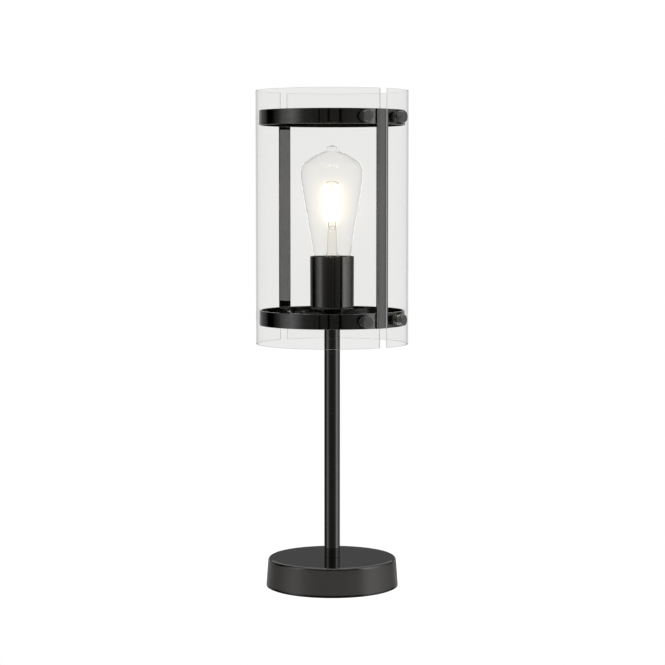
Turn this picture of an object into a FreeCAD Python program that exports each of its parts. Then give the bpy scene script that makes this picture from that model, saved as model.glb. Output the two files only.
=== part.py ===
import FreeCAD, Part
import math
import os

"""Table lamp with a clear glass cylinder shade, in millimetres.

The origin is the centre of the pad's underside, +Z is up and -Y is the front. An angle is a compass
angle round the stem, in degrees: 0 is the front, 90 is +X.
"""

Vector = FreeCAD.Vector
ORIGIN = Vector(0, 0, 0)
UP = Vector(0, 0, 1)
REAR = 180.0                      # compass angle of the cord inlet

# Clearances
THREAD_CLEAR = 0.05               # radial, between a screw and the thread that it runs in
PASS_CLEAR = 0.3                  # radial, between a screw and a hole that it only passes through
SEAT_CLEAR = 0.3                  # between a cast or soft piece and the wall round it
TURN_CLEAR = 0.1                  # between a turning piece and what it turns on

# Base
BASE_FOOT_R = 67.05               # outside of the cover at its rim
BASE_DRAFT = 2.05                 # the cover's top is this much smaller in radius than its rim
BASE_TOP_Z = 29.6
BASE_EDGE_R = 2.5
COVER_WALL = 1.5
PAD_THICK = 2.0
PAD_PROUD = 0.8                   # the pad stands this far below the cover's rim
PAD_MARGIN = 0.6                  # between the pad's edge and the cover
PLATE_THICK = 1.8
WEIGHT_EDGE = 2.0                 # chamfer round the top of the weight
RECESS_R = 25.0                   # hollow under the weight, for the nut and the connector
RECESS_H = 15.2
CHANNEL_W = 14.0                  # from the hollow to the cord inlet
PLATE_SCREW_INSET = 14.75         # from the cover's rim
PLATE_SCREW_ANGLES = (0.0, 120.0, 240.0)
PLATE_SCREW_R = 1.5
PLATE_SCREW_HEAD_R = 2.75
PLATE_SCREW_HEAD_H = 1.6
PLATE_SCREW_L = 9.0

# Cord inlet
INLET_Z = 12.0
INLET_BORE_R = 3.2
INLET_NECK_R = 5.0
INLET_FLANGE_R = 7.0
INLET_LIP_R = 6.0
INLET_LENGTH = 8.0
INLET_PROUD = 2.0                 # the flange stands this far out of the cover
INLET_LIP_T = 1.6

# Hollow threaded nipples, and what clamps the base
NIPPLE_R = 5.0
NIPPLE_BORE_R = 3.75
LOCK_WASHER_R = 8.2
LOCK_WASHER_T = 1.2
EARTH_TAG_R = 8.5
EARTH_TAG_T = 0.8
EARTH_TONGUE_W = 5.0
EARTH_TONGUE_L = 11.0
EARTH_ANGLE = 100.0
NUT_ACROSS_FLATS = 14.0
NUT_H = 4.5
NUT_SHOW = 1.0                    # a nipple stands this far out of its nut

# Connector in the base
BLOCK_L = 24.0
BLOCK_W = 12.0
BLOCK_H = 12.0
BLOCK_NEAR_Y = 9.0                # side that faces the stem
BLOCK_EDGE = 1.0
POLE_PITCH = 8.0
POLE_BORE_R = 1.6
POLE_BORE_UP = 3.2                # bore above the block's underside
POLE_SCREW_R = 1.5
POLE_SCREW_INSET = 3.5            # from each long side of the block
POLE_SCREW_SUNK = 0.8

# Wires
WIRE_R = 1.1
WIRE_IN_BLOCK = 3.0               # a wire reaches this far into its pole
WIRE_OFFSET = 1.6                 # from the axis, inside the stem
WIRE_FOOT_BEND = 4.2
WIRE_HEAD_BEND = 2.6

# Stem
STEM_R = 8.0
STEM_WALL = 1.0
INSERT_H = 14.0
NIPPLE_IN_INSERT = 11.0

# Rings, bars and crossbar
RING_R = 73.4                     # outside
RING_WALL = 2.0
RING_H = 15.0
RING_EDGE = 0.4
LOWER_RING_Z = 266.5              # underside
UPPER_RING_Z = 466.9              # underside
BAR_ANGLE = 41.5                  # the other bar is opposite
BAR_W = 15.0
BAR_T = 1.2
BAR_EDGE = 0.3
STUD_R = 2.0
STUD_GRIP = 3.2                   # length of stud inside a cap nut
CAP_NUT_R = 4.3
CAP_NUT_COLLAR = 2.2
CAP_NUT_H = 5.2
CROSSBAR_UP = 0.3                 # underside above the lower ring's underside
CROSSBAR_T = 2.0
CROSSBAR_W = 15.0
CROSSBAR_BEND = 3.0
CROSSBAR_TAB_DOWN = 1.6           # top of the tabs below the lower ring's top edge
CROSSBAR_BOSS_R = 13.0

# Glass
GLASS_T = 1.8
GLASS_STANDOFF = 1.55             # thickness of the bushes' flanges, between the rings and the glass
GLASS_GAP = 9.0                   # between the two panels, over each bar
GLASS_HOLE_R = 4.0
GLASS_BELOW = 19.1                # below the lower ring
GLASS_ABOVE = 19.8                # above the upper ring

# Thumbscrews, each with a bush in the glass and a washer
THUMB_OFFSET = 16.5               # degrees, each side of a bar
THUMB_R = 2.5
THUMB_HEAD_R = 5.4
THUMB_HEAD_L = 7.0
THUMB_EDGE = 0.6
THUMB_INSIDE = 3.0                # the end stands this far inside the ring
WASHER_R = 4.9
WASHER_T = 0.7
BUSH_FLANGE_R = 5.0
BUSH_SUNK = 0.2                   # the bush ends this far inside the glass's outer face

# Lampholder
CUP_UP = 1.7                      # underside above the lower ring's top edge
CUP_H = 52.6
CUP_BOTTOM_R = 22.05
CUP_FLARE = 0.2                   # the cup's top is this much larger in radius
CUP_WALL = 1.0
CUP_EDGE = 1.6
CUP_SPACER_R = 9.0
HOLDER_GAP = 1.55                 # between the lampholder and the cup
HOLDER_WALL = 2.0
HOLDER_FLOOR = 3.0
HOLDER_BOSS_R = 8.0
HOLDER_BOSS_H = 2.4
HOLDER_ROOM = 7.9                 # from the floor to the insert
HOLDER_LEDGE = 1.5
INSERT_PLATE_T = 6.5
INSERT_SINK = 3.0                 # of the insert, below the rim of the holder's cap
SHELL_CLEAR = 0.35                # between the threaded shell and the bulb's cap
SHELL_T = 0.5
SHELL_FLANGE_W = 3.85
SHELL_BELOW_MOUTH = 2.5
MOUTH_CHAMFER = 1.6
MOUTH_BELOW_CUP = 6.3
CONTACT_W = 5.0
CONTACT_L = 13.0
CONTACT_T = 0.4
CONTACT_RISE = 0.9
HOLDER_SCREW_R = 1.5
HOLDER_SCREW_HEAD_R = 2.6
HOLDER_SCREW_HEAD_H = 1.8
HOLDER_SCREW_L = 4.5
HOLDER_SCREW_OUT = 10.5           # from the axis

# Bulb: heights are above the tip of its cap
TIP_R = 4.6
TIP_H = 1.6
TIP_CROWN = 0.5
BULB_INSULATOR_H = 5.0
CAP_R = 13.0
CAP_TAPER_W = 3.0                 # the cap narrows this much to its foot
CAP_WALL = 0.4
CAP_THREAD_FROM = 7.2
CAP_TOP = 27.0
BULB_WALL = 0.8
NECK_CLEAR = 0.4                  # cement round the neck
NECK_R = CAP_R - CAP_WALL - NECK_CLEAR
BULB_OUTLINE = (                  # radius, height, rounding of the glass, up to the pip
    (NECK_R, 18.2, 0.0),
    (NECK_R, 28.4, 1.5),
    (18.3, 31.5, 2.5),
    (31.6, 111.9, 60.0),
    (30.7, 125.3, 11.0),
    (15.5, 135.0, 40.0),
    (6.4, 138.2, 1.2),
    (5.6, 142.8, 3.0),
    (0.0, 144.4, 0.0),
)
MOUNT_CLEAR = 0.2                 # between the mount's foot and the neck
MOUNT_FOOT_H = 19.7
MOUNT_WAIST_R = 5.6
MOUNT_WAIST_H = 35.2
MOUNT_PRESS_R = 5.0
MOUNT_PRESS_H = 61.4
MOUNT_ROD_R = 1.2
MOUNT_ROD_UP = 3.6                # above the filaments' heads
MOUNT_WALL = 0.9
MOUNT_HOLLOW_H = 51.0
FILAMENT_COUNT = 4
FILAMENT_R = 0.9
FILAMENT_UP = 6.3                 # feet above the mount's press
FILAMENT_RISE = 37.4
FILAMENT_FOOT_R = 4.5             # from the axis
FILAMENT_HEAD_R = 8.5
LEAD_R = 0.45
LEAD_OUT = 3.8

# Worked out from the sizes above
BASE_TOP_R = BASE_FOOT_R - BASE_DRAFT
PLATE_Z = PAD_THICK
WEIGHT_Z = PLATE_Z + PLATE_THICK
RECESS_ROOF_Z = WEIGHT_Z + RECESS_H
PLATE_SCREW_PCD_R = BASE_FOOT_R - PLATE_SCREW_INSET
BASE_ROOF_Z = BASE_TOP_Z - COVER_WALL
NIPPLE_HOLE_R = NIPPLE_R + PASS_CLEAR
NIPPLE_THREAD_R = NIPPLE_R + THREAD_CLEAR
TAG_TOP_Z = RECESS_ROOF_Z - LOCK_WASHER_T
NUT_TOP_Z = TAG_TOP_Z - EARTH_TAG_T
NUT_Z = NUT_TOP_Z - NUT_H
WIRE_FOOT_Z = WEIGHT_Z + POLE_BORE_UP
RING_INNER_R = RING_R - RING_WALL
GLASS_R = RING_R + GLASS_STANDOFF
CROSSBAR_Z = LOWER_RING_Z + CROSSBAR_UP
CROSSBAR_TOP_Z = CROSSBAR_Z + CROSSBAR_T
LOWER_RING_TOP_Z = LOWER_RING_Z + RING_H
UPPER_RING_TOP_Z = UPPER_RING_Z + RING_H
LOWER_MID_Z = LOWER_RING_Z + RING_H / 2
UPPER_MID_Z = UPPER_RING_Z + RING_H / 2
GLASS_OUTER_R = GLASS_R + GLASS_T
WASHER_R0 = GLASS_OUTER_R + TURN_CLEAR
THUMB_SEAT_R = WASHER_R0 + WASHER_T
CUP_Z = LOWER_RING_TOP_Z + CUP_UP
CUP_TOP_Z = CUP_Z + CUP_H
CUP_TOP_R = CUP_BOTTOM_R + CUP_FLARE
HOLDER_R = CUP_BOTTOM_R - CUP_WALL - HOLDER_GAP
SHELL_R = CAP_R + SHELL_CLEAR
SHELL_FLANGE_R = SHELL_R - SHELL_FLANGE_W
BULB_INSULATOR_R = CAP_R - CAP_TAPER_W
MOUNT_FOOT_R = NECK_R - BULB_WALL - MOUNT_CLEAR
FILAMENT_FOOT = (FILAMENT_FOOT_R, MOUNT_PRESS_H + FILAMENT_UP)                # radius, height
FILAMENT_HEAD = (FILAMENT_HEAD_R, MOUNT_PRESS_H + FILAMENT_UP + FILAMENT_RISE)
MOUNT_ROD_H = MOUNT_PRESS_H + FILAMENT_UP + FILAMENT_RISE + MOUNT_ROD_UP
HOLDER_Z = CUP_Z + CUP_WALL
HOLDER_FLOOR_Z = HOLDER_Z + HOLDER_FLOOR
INSERT_PLATE_Z = HOLDER_FLOOR_Z + HOLDER_ROOM
HOLDER_RIM_Z = INSERT_PLATE_Z + INSERT_SINK
INSERT_TOP_Z = INSERT_PLATE_Z + INSERT_PLATE_T
MOUTH_Z = CUP_TOP_Z - MOUTH_BELOW_CUP
BULB_Z = INSERT_TOP_Z + CONTACT_RISE + CONTACT_T + TURN_CLEAR
BAR_ANGLES = {"front": BAR_ANGLE, "rear": BAR_ANGLE + 180.0}
RING_LEVELS = {"lower": LOWER_MID_Z, "upper": UPPER_MID_Z}
THUMB_SIDES = {
    "front": {"left": -THUMB_OFFSET, "right": THUMB_OFFSET},
    "rear": {"left": THUMB_OFFSET, "right": -THUMB_OFFSET},
}


def outward(angle):
    """Unit vector away from the stem at a compass angle."""
    turn = math.radians(angle)
    return Vector(math.sin(turn), -math.cos(turn), 0)


def rod(radius, low, high):
    """Upright cylinder on the stem's axis."""
    return Part.makeCylinder(radius, high - low, Vector(0, 0, low), UP)


def tube(outer, inner, low, high):
    """Upright tube on the stem's axis."""
    return rod(outer, low, high).cut(rod(inner, low, high))


def spoke(radius, angle, z, near, far):
    """Level cylinder that points away from the stem, from one distance to another."""
    away = outward(angle)
    return Part.makeCylinder(radius, far - near, away * near + Vector(0, 0, z), away)


def slab(angle, near, far, width, low, high):
    """Box whose length lies along a compass angle."""
    box = Part.makeBox(width, far - near, high - low, Vector(-width / 2, -far, low))
    return box.rotate(ORIGIN, UP, angle)


def turned(outline):
    """Solid of revolution round the stem's axis from a closed outline of (radius, height) pairs."""
    corners = [Vector(radius, 0, z) for radius, z in outline]
    face = Part.Face(Part.makePolygon(corners + corners[:1]))
    return face.revolve(ORIGIN, UP, 360)


def rounded_path(points, bends):
    """Wire of straight runs joined by tangent arcs, with one bend radius for each inner point."""
    edges = []
    start = points[0]
    for before, corner, after, bend in zip(points, points[1:], points[2:], bends):
        to_before = (before - corner).normalize()
        to_after = (after - corner).normalize()
        half = to_before.getAngle(to_after) / 2
        back = bend / math.tan(half)
        centre = corner + (to_before + to_after).normalize() * (bend / math.sin(half))
        first = corner + to_before * back
        last = corner + to_after * back
        middle = centre + (corner - centre).normalize() * bend
        edges.append(Part.LineSegment(start, first).toShape())
        edges.append(Part.Arc(first, middle, last).toShape())
        start = last
    edges.append(Part.LineSegment(start, points[-1]).toShape())
    return Part.Wire(edges)


def wire_along(points, bends):
    """Insulated wire that follows a rounded path."""
    path = rounded_path(points, bends)
    ring = Part.Wire(Part.Circle(points[0], points[1] - points[0], WIRE_R).toShape())
    return path.makePipeShell([ring], True, False)


def round_edges(shape, radius, z, bend):
    """The shape with its level circular edges of one radius and height rounded."""
    slack = 0.01
    found = [
        edge for edge in shape.Edges
        if isinstance(edge.Curve, Part.Circle)
        and abs(edge.Curve.Radius - radius) < slack
        and abs(edge.Curve.Center.z - z) < slack
        and abs(edge.Curve.Axis.z) > 1 - slack
    ]
    return shape.makeFillet(bend, found)


def cover_side_r(z, depth=0.0):
    """Radius of the base cover's slanting side at a height, some way in from its outer face."""
    slope = (BASE_FOOT_R - BASE_TOP_R) / (BASE_TOP_Z - PAD_PROUD)
    return BASE_FOOT_R - slope * (z - PAD_PROUD) - depth * math.hypot(1, slope)


def base_cover():
    """Pressed cover with a rounded top edge, a hole for the nipple and one for the cord inlet."""
    inner_foot_r = cover_side_r(PAD_PROUD, COVER_WALL)
    inner_top_r = cover_side_r(BASE_ROOF_Z, COVER_WALL)
    shell = turned((
        (NIPPLE_HOLE_R, BASE_TOP_Z),
        (BASE_TOP_R, BASE_TOP_Z),
        (BASE_FOOT_R, PAD_PROUD),
        (inner_foot_r, PAD_PROUD),
        (inner_top_r, BASE_ROOF_Z),
        (NIPPLE_HOLE_R, BASE_ROOF_Z),
    ))
    shell = round_edges(shell, BASE_TOP_R, BASE_TOP_Z, BASE_EDGE_R)
    shell = round_edges(shell, inner_top_r, BASE_ROOF_Z, BASE_EDGE_R - COVER_WALL)
    hole = spoke(INLET_NECK_R + THREAD_CLEAR, REAR, INLET_Z, BASE_TOP_R / 2, BASE_FOOT_R + COVER_WALL)
    return shell.cut(hole)


def plate_screw(angle):
    """Countersunk screw from the base plate up into the weight."""
    place = outward(angle) * PLATE_SCREW_PCD_R + Vector(0, 0, PLATE_Z)
    head = Part.makeCone(PLATE_SCREW_HEAD_R, PLATE_SCREW_R, PLATE_SCREW_HEAD_H, place, UP)
    return head.fuse(Part.makeCylinder(PLATE_SCREW_R, PLATE_SCREW_L, place, UP)).removeSplitter()


def plate_screw_hole(angle, radius, low, high):
    """Upright hole where a plate screw goes."""
    place = outward(angle) * PLATE_SCREW_PCD_R
    return Part.makeCylinder(radius, high - low, place + Vector(0, 0, low), UP)


def base_weight():
    """Cast disc with a hollow for the connector, a channel to the cord inlet and tapped holes."""
    side = COVER_WALL + SEAT_CLEAR
    body = turned((
        (NIPPLE_HOLE_R, RECESS_ROOF_Z),
        (RECESS_R, RECESS_ROOF_Z),
        (RECESS_R, WEIGHT_Z),
        (cover_side_r(WEIGHT_Z, side), WEIGHT_Z),
        (cover_side_r(BASE_ROOF_Z - WEIGHT_EDGE, side), BASE_ROOF_Z - WEIGHT_EDGE),
        (cover_side_r(BASE_ROOF_Z, side) - WEIGHT_EDGE, BASE_ROOF_Z),
        (NIPPLE_HOLE_R, BASE_ROOF_Z),
    ))
    channel = slab(REAR, RECESS_R - COVER_WALL, BASE_FOOT_R, CHANNEL_W, WEIGHT_Z, RECESS_ROOF_Z)
    body = body.cut(channel)
    for angle in PLATE_SCREW_ANGLES:
        tapped = PLATE_SCREW_R + THREAD_CLEAR
        body = body.cut(plate_screw_hole(angle, tapped, WEIGHT_Z, PLATE_Z + PLATE_SCREW_L + SEAT_CLEAR))
    return body


def base_plate():
    """Steel disc that closes the base, countersunk for its screws."""
    plate = rod(cover_side_r(PLATE_Z + PLATE_THICK, COVER_WALL + SEAT_CLEAR), PLATE_Z, WEIGHT_Z)
    for angle in PLATE_SCREW_ANGLES:
        place = outward(angle) * PLATE_SCREW_PCD_R + Vector(0, 0, PLATE_Z)
        sink_r = PLATE_SCREW_HEAD_R + THREAD_CLEAR
        hole_r = PLATE_SCREW_R + THREAD_CLEAR
        plate = plate.cut(Part.makeCone(sink_r, hole_r, PLATE_SCREW_HEAD_H, place, UP))
        plate = plate.cut(plate_screw_hole(angle, hole_r, PLATE_Z, WEIGHT_Z))
    return plate


def base_pad():
    """Soft pad that the lamp stands on."""
    return rod(cover_side_r(PAD_PROUD, COVER_WALL) - PAD_MARGIN, 0, PAD_THICK)


def cord_grommet(cover):
    """Flanged bush in the cover's rear wall, with the bore that a cord would come through."""
    out = cover_side_r(INLET_Z) + INLET_PROUD
    wall_out = cover_side_r(INLET_Z)
    wall_in = cover_side_r(INLET_Z, COVER_WALL)
    blank = spoke(INLET_NECK_R, REAR, INLET_Z, out - INLET_LENGTH, out)
    blank = blank.fuse(spoke(INLET_FLANGE_R, REAR, INLET_Z, wall_out - COVER_WALL / 2, out))
    blank = blank.fuse(spoke(INLET_LIP_R, REAR, INLET_Z, wall_in - INLET_LIP_T, wall_in + COVER_WALL / 2))
    bush = blank.cut(cover).cut(spoke(INLET_BORE_R, REAR, INLET_Z, RECESS_R, BASE_FOOT_R * 2))
    return max(bush.Solids, key=lambda solid: solid.Volume)


def hexagon(across_flats, low, height):
    """Upright hexagonal prism on the stem's axis."""
    corner_r = across_flats / math.sqrt(3)
    corners = [outward(60.0 * i) * corner_r + Vector(0, 0, low) for i in range(6)]
    return Part.Face(Part.makePolygon(corners + corners[:1])).extrude(Vector(0, 0, height))


def base_nut():
    """Hexagon nut that clamps the base to the stem, with chamfered corners."""
    nut = hexagon(NUT_ACROSS_FLATS, NUT_Z, NUT_H)
    corner_r = NUT_ACROSS_FLATS / math.sqrt(3)
    drop = (corner_r - NUT_ACROSS_FLATS / 2) / 2
    envelope = turned((
        (NIPPLE_THREAD_R, NUT_Z),
        (corner_r - 2 * drop, NUT_Z),
        (corner_r, NUT_Z + drop),
        (corner_r, NUT_TOP_Z - drop),
        (corner_r - 2 * drop, NUT_TOP_Z),
        (NIPPLE_THREAD_R, NUT_TOP_Z),
    ))
    return nut.common(envelope)


def base_lock_washer():
    """Split ring between the weight and the earth tag."""
    ring = tube(LOCK_WASHER_R, NIPPLE_HOLE_R, TAG_TOP_Z, RECESS_ROOF_Z)
    split = slab(EARTH_ANGLE, NIPPLE_R, LOCK_WASHER_R + 1, LOCK_WASHER_T, TAG_TOP_Z, RECESS_ROOF_Z)
    return ring.cut(split)


def earth_tag():
    """Ring tag under the nut, with a tongue for the earth wire."""
    ring = rod(EARTH_TAG_R, NUT_TOP_Z, TAG_TOP_Z)
    reach = NIPPLE_R + EARTH_TONGUE_L
    tongue = slab(EARTH_ANGLE, 0, reach, EARTH_TONGUE_W, NUT_TOP_Z, TAG_TOP_Z)
    end = Part.makeCylinder(EARTH_TONGUE_W / 2, EARTH_TAG_T, outward(EARTH_ANGLE) * reach, UP)
    end.translate(Vector(0, 0, NUT_TOP_Z))
    tag = ring.fuse([tongue, end]).removeSplitter()
    return tag.cut(rod(NIPPLE_HOLE_R, NUT_TOP_Z, TAG_TOP_Z))


def pole_places():
    """X of each pole of the connector."""
    return [POLE_PITCH * step for step in (-1, 0, 1)]


def pole_screw_places():
    """X and Y of each clamping screw of the connector."""
    rows = (BLOCK_NEAR_Y + POLE_SCREW_INSET, BLOCK_NEAR_Y + BLOCK_W - POLE_SCREW_INSET)
    return [(x, y) for x in pole_places() for y in rows]


def terminal_block():
    """Three-pole connector that lies on the base plate."""
    corner = Vector(-BLOCK_L / 2, BLOCK_NEAR_Y, WEIGHT_Z)
    block = Part.makeBox(BLOCK_L, BLOCK_W, BLOCK_H, corner)
    top = WEIGHT_Z + BLOCK_H
    upper = [
        edge for edge in block.Edges
        if abs(edge.BoundBox.ZMin - top) < BLOCK_EDGE / 2
    ]
    block = block.makeChamfer(BLOCK_EDGE, upper)
    for x in pole_places():
        start = Vector(x, BLOCK_NEAR_Y, WIRE_FOOT_Z)
        block = block.cut(Part.makeCylinder(POLE_BORE_R, BLOCK_W, start, Vector(0, 1, 0)))
    for x, y in pole_screw_places():
        well = Part.makeCylinder(POLE_SCREW_R + THREAD_CLEAR, BLOCK_H, Vector(x, y, WIRE_FOOT_Z), UP)
        block = block.cut(well)
    return block


def terminal_screws():
    """Clamping screws of the connector, standing on the wires' bores."""
    low = WIRE_FOOT_Z + WIRE_R + THREAD_CLEAR
    high = WEIGHT_Z + BLOCK_H - POLE_SCREW_SUNK
    return [
        Part.makeCylinder(POLE_SCREW_R, high - low, Vector(x, y, low), UP)
        for x, y in pole_screw_places()
    ]


def supply_wire(side):
    """Live or neutral wire: connector, nipple, stem, nipple, lampholder screw. side is -1 or 1."""
    start_y = BLOCK_NEAR_Y + WIRE_IN_BLOCK
    head_z = INSERT_PLATE_Z - HOLDER_SCREW_HEAD_H - WIRE_R
    start_x = POLE_PITCH * (side - 1) / 2
    points = [
        Vector(start_x, start_y, WIRE_FOOT_Z),
        Vector(start_x, BLOCK_NEAR_Y - WIRE_R, WIRE_FOOT_Z),
        Vector(side * WIRE_OFFSET, 0, WIRE_FOOT_Z),
        Vector(side * WIRE_OFFSET, 0, head_z),
        Vector(side * HOLDER_SCREW_OUT, 0, head_z),
    ]
    return wire_along(points, (WIRE_R * 2, WIRE_FOOT_BEND, WIRE_HEAD_BEND))


def earth_wire():
    """Wire from the connector's third pole to the tongue of the earth tag."""
    start_y = BLOCK_NEAR_Y + WIRE_IN_BLOCK
    end = outward(EARTH_ANGLE) * (NIPPLE_R + EARTH_TONGUE_L)
    points = [
        Vector(POLE_PITCH, start_y, WIRE_FOOT_Z),
        Vector(POLE_PITCH, end.y, WIRE_FOOT_Z),
        Vector(end.x, end.y, WIRE_FOOT_Z),
        Vector(end.x, end.y, NUT_TOP_Z),
    ]
    return wire_along(points, (WIRE_R * 3, WIRE_R * 3))


def stem_tube():
    """Plain stem from the base to the crossbar."""
    return tube(STEM_R, STEM_R - STEM_WALL, BASE_TOP_Z, CROSSBAR_Z)


def stem_insert(low):
    """Threaded insert pressed into one end of the stem."""
    return tube(STEM_R - STEM_WALL - THREAD_CLEAR, NIPPLE_THREAD_R, low, low + INSERT_H)


def nipple(low, high):
    """Hollow threaded nipple, with chamfered ends."""
    lead = (NIPPLE_R - NIPPLE_BORE_R) / 2
    return turned((
        (NIPPLE_BORE_R, low),
        (NIPPLE_R - lead, low),
        (NIPPLE_R, low + lead),
        (NIPPLE_R, high - lead),
        (NIPPLE_R - lead, high),
        (NIPPLE_BORE_R, high),
    ))


def ring_band(low):
    """Flat band ring with softened edges, tapped for its thumbscrews and drilled for the studs."""
    high = low + RING_H
    band = tube(RING_R, RING_INNER_R, low, high)
    for radius in (RING_R, RING_INNER_R):
        for z in (low, high):
            band = round_edges(band, radius, z, RING_EDGE)
    mid = low + RING_H / 2
    for bar_angle in BAR_ANGLES.values():
        band = band.cut(spoke(STUD_R + THREAD_CLEAR, bar_angle, mid, RING_INNER_R - 1, RING_R + 1))
        for offset in (-THUMB_OFFSET, THUMB_OFFSET):
            tapped = THUMB_R + THREAD_CLEAR
            band = band.cut(spoke(tapped, bar_angle + offset, mid, RING_INNER_R - 1, RING_R + 1))
    return band


def nut_seat_r(level):
    """Distance from the axis to a cap nut's flat face, whose rim touches the curved wall behind it."""
    tab = CROSSBAR_T + THREAD_CLEAR if level == "lower" else 0.0
    return math.sqrt((RING_INNER_R - tab) ** 2 - CAP_NUT_R ** 2)


def bar(angle):
    """Flat upright strip on the outside of both rings, with a welded stud at each end."""
    strip = slab(angle, RING_R, RING_R + BAR_T, BAR_W, LOWER_RING_Z, UPPER_RING_TOP_Z)
    upright = [edge for edge in strip.Edges if abs(edge.tangentAt(edge.FirstParameter).z) > 0.9]
    strip = strip.makeFillet(BAR_EDGE, upright)
    for level, z in RING_LEVELS.items():
        strip = strip.fuse(spoke(STUD_R, angle, z, nut_seat_r(level) - STUD_GRIP, RING_R + BAR_T / 2))
    return strip.removeSplitter()


def cap_nut(angle, level):
    """Round domed nut on a stud, inside a ring."""
    seat = nut_seat_r(level)
    crown = CAP_NUT_H - CAP_NUT_COLLAR
    dome_r = (CAP_NUT_R ** 2 + crown ** 2) / (2 * crown)
    side = math.hypot(dome_r - crown, CAP_NUT_R) - dome_r
    flat = [
        Vector(0, 0, 0),
        Vector(CAP_NUT_R, 0, 0),
        Vector(CAP_NUT_R, 0, CAP_NUT_COLLAR),
    ]
    half = math.asin(CAP_NUT_R / dome_r) / 2
    middle = Vector(dome_r * math.sin(half), 0, CAP_NUT_H - dome_r + dome_r * math.cos(half) + side)
    top = Vector(0, 0, CAP_NUT_H)
    edges = [Part.LineSegment(a, b).toShape() for a, b in zip(flat, flat[1:])]
    edges.append(Part.Arc(flat[-1], middle, top).toShape())
    edges.append(Part.LineSegment(top, flat[0]).toShape())
    nut = Part.Face(Part.Wire(edges)).revolve(ORIGIN, UP, 360)
    nut = nut.cut(rod(STUD_R + THREAD_CLEAR, 0, STUD_GRIP + THREAD_CLEAR))
    inward = outward(angle) * -1
    nut.Placement = FreeCAD.Placement(
        outward(angle) * seat + Vector(0, 0, RING_LEVELS[level]),
        FreeCAD.Rotation(UP, inward),
    )
    return nut


def crossbar():
    """Strip across the lower ring, its ends bent up against the ring and its middle a round boss."""
    wall_r = RING_INNER_R - THREAD_CLEAR
    top = LOWER_RING_TOP_Z - CROSSBAR_TAB_DOWN
    pan = turned((
        (NIPPLE_HOLE_R, CROSSBAR_Z),
        (wall_r, CROSSBAR_Z),
        (wall_r, top),
        (wall_r - CROSSBAR_T, top),
        (wall_r - CROSSBAR_T, CROSSBAR_TOP_Z),
        (NIPPLE_HOLE_R, CROSSBAR_TOP_Z),
    ))
    pan = round_edges(pan, wall_r, CROSSBAR_Z, CROSSBAR_BEND)
    pan = round_edges(pan, wall_r - CROSSBAR_T, CROSSBAR_TOP_Z, CROSSBAR_BEND - CROSSBAR_T)
    outline = slab(BAR_ANGLE, -RING_R, RING_R, CROSSBAR_W, CROSSBAR_Z, top)
    outline = outline.fuse(rod(CROSSBAR_BOSS_R, CROSSBAR_Z, CROSSBAR_TOP_Z)).removeSplitter()
    strip = pan.common(outline)
    for angle in BAR_ANGLES.values():
        strip = strip.cut(spoke(STUD_R + THREAD_CLEAR, angle, LOWER_MID_Z, wall_r / 2, RING_R))
    return strip


def glass_panels():
    """The two half-round panels, front-left first, each drilled for four thumbscrews."""
    low = LOWER_RING_Z - GLASS_BELOW
    high = UPPER_RING_TOP_Z + GLASS_ABOVE
    shade = tube(GLASS_OUTER_R, GLASS_R, low, high)
    shade = shade.cut(slab(BAR_ANGLE, -2 * GLASS_R, 2 * GLASS_R, GLASS_GAP, low, high))
    for bar_angle in BAR_ANGLES.values():
        for offset in (-THUMB_OFFSET, THUMB_OFFSET):
            for z in RING_LEVELS.values():
                shade = shade.cut(spoke(GLASS_HOLE_R, bar_angle + offset, z, RING_R, GLASS_OUTER_R + 1))
    return sorted(shade.Solids, key=lambda panel: panel.CenterOfMass.x)


def glass_bush(angle, z):
    """Soft bush: a flange between the ring and the glass, and a sleeve in the glass's hole."""
    flange = spoke(BUSH_FLANGE_R, angle, z, RING_INNER_R, GLASS_OUTER_R)
    band = rod(GLASS_R, z - RING_H, z + RING_H)
    sleeve = spoke(GLASS_HOLE_R - PASS_CLEAR, angle, z, RING_INNER_R, GLASS_OUTER_R - BUSH_SUNK)
    bush = flange.common(band).fuse(sleeve).removeSplitter()
    bush = bush.cut(rod(RING_R, z - RING_H, z + RING_H))
    return bush.cut(spoke(THUMB_R + PASS_CLEAR, angle, z, RING_INNER_R, GLASS_OUTER_R))


def thumb_washer(angle, z):
    """Flat washer between a thumbscrew's head and the glass."""
    disc = spoke(WASHER_R, angle, z, WASHER_R0, THUMB_SEAT_R)
    return disc.cut(spoke(THUMB_R + TURN_CLEAR, angle, z, WASHER_R0, THUMB_SEAT_R))


def thumbscrew(angle, z):
    """Plain round-headed thumbscrew that runs in the ring's thread."""
    face = THUMB_SEAT_R + THUMB_HEAD_L
    head = Part.makeCylinder(THUMB_HEAD_R, THUMB_HEAD_L, ORIGIN, UP)
    head = round_edges(head, THUMB_HEAD_R, THUMB_HEAD_L, THUMB_EDGE)
    head = head.rotate(ORIGIN, Vector(1, 0, 0), 90).rotate(ORIGIN, UP, angle)
    head.translate(outward(angle) * THUMB_SEAT_R + Vector(0, 0, z))
    shank = spoke(THUMB_R, angle, z, RING_INNER_R - THUMB_INSIDE, face - THUMB_EDGE)
    return head.fuse(shank).removeSplitter()


def cup_spacer():
    """Turned spacer between the crossbar and the lampholder cup."""
    return tube(CUP_SPACER_R, NIPPLE_HOLE_R, CROSSBAR_TOP_Z, CUP_Z)


def holder_cup():
    """Open-topped metal cup round the lampholder."""
    cup = turned((
        (NIPPLE_HOLE_R, CUP_Z),
        (CUP_BOTTOM_R, CUP_Z),
        (CUP_TOP_R, CUP_TOP_Z),
        (CUP_TOP_R - CUP_WALL, CUP_TOP_Z),
        (CUP_BOTTOM_R - CUP_WALL, HOLDER_Z),
        (NIPPLE_HOLE_R, HOLDER_Z),
    ))
    cup = round_edges(cup, CUP_BOTTOM_R, CUP_Z, CUP_EDGE)
    return round_edges(cup, CUP_BOTTOM_R - CUP_WALL, HOLDER_Z, CUP_EDGE - CUP_WALL)


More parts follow.
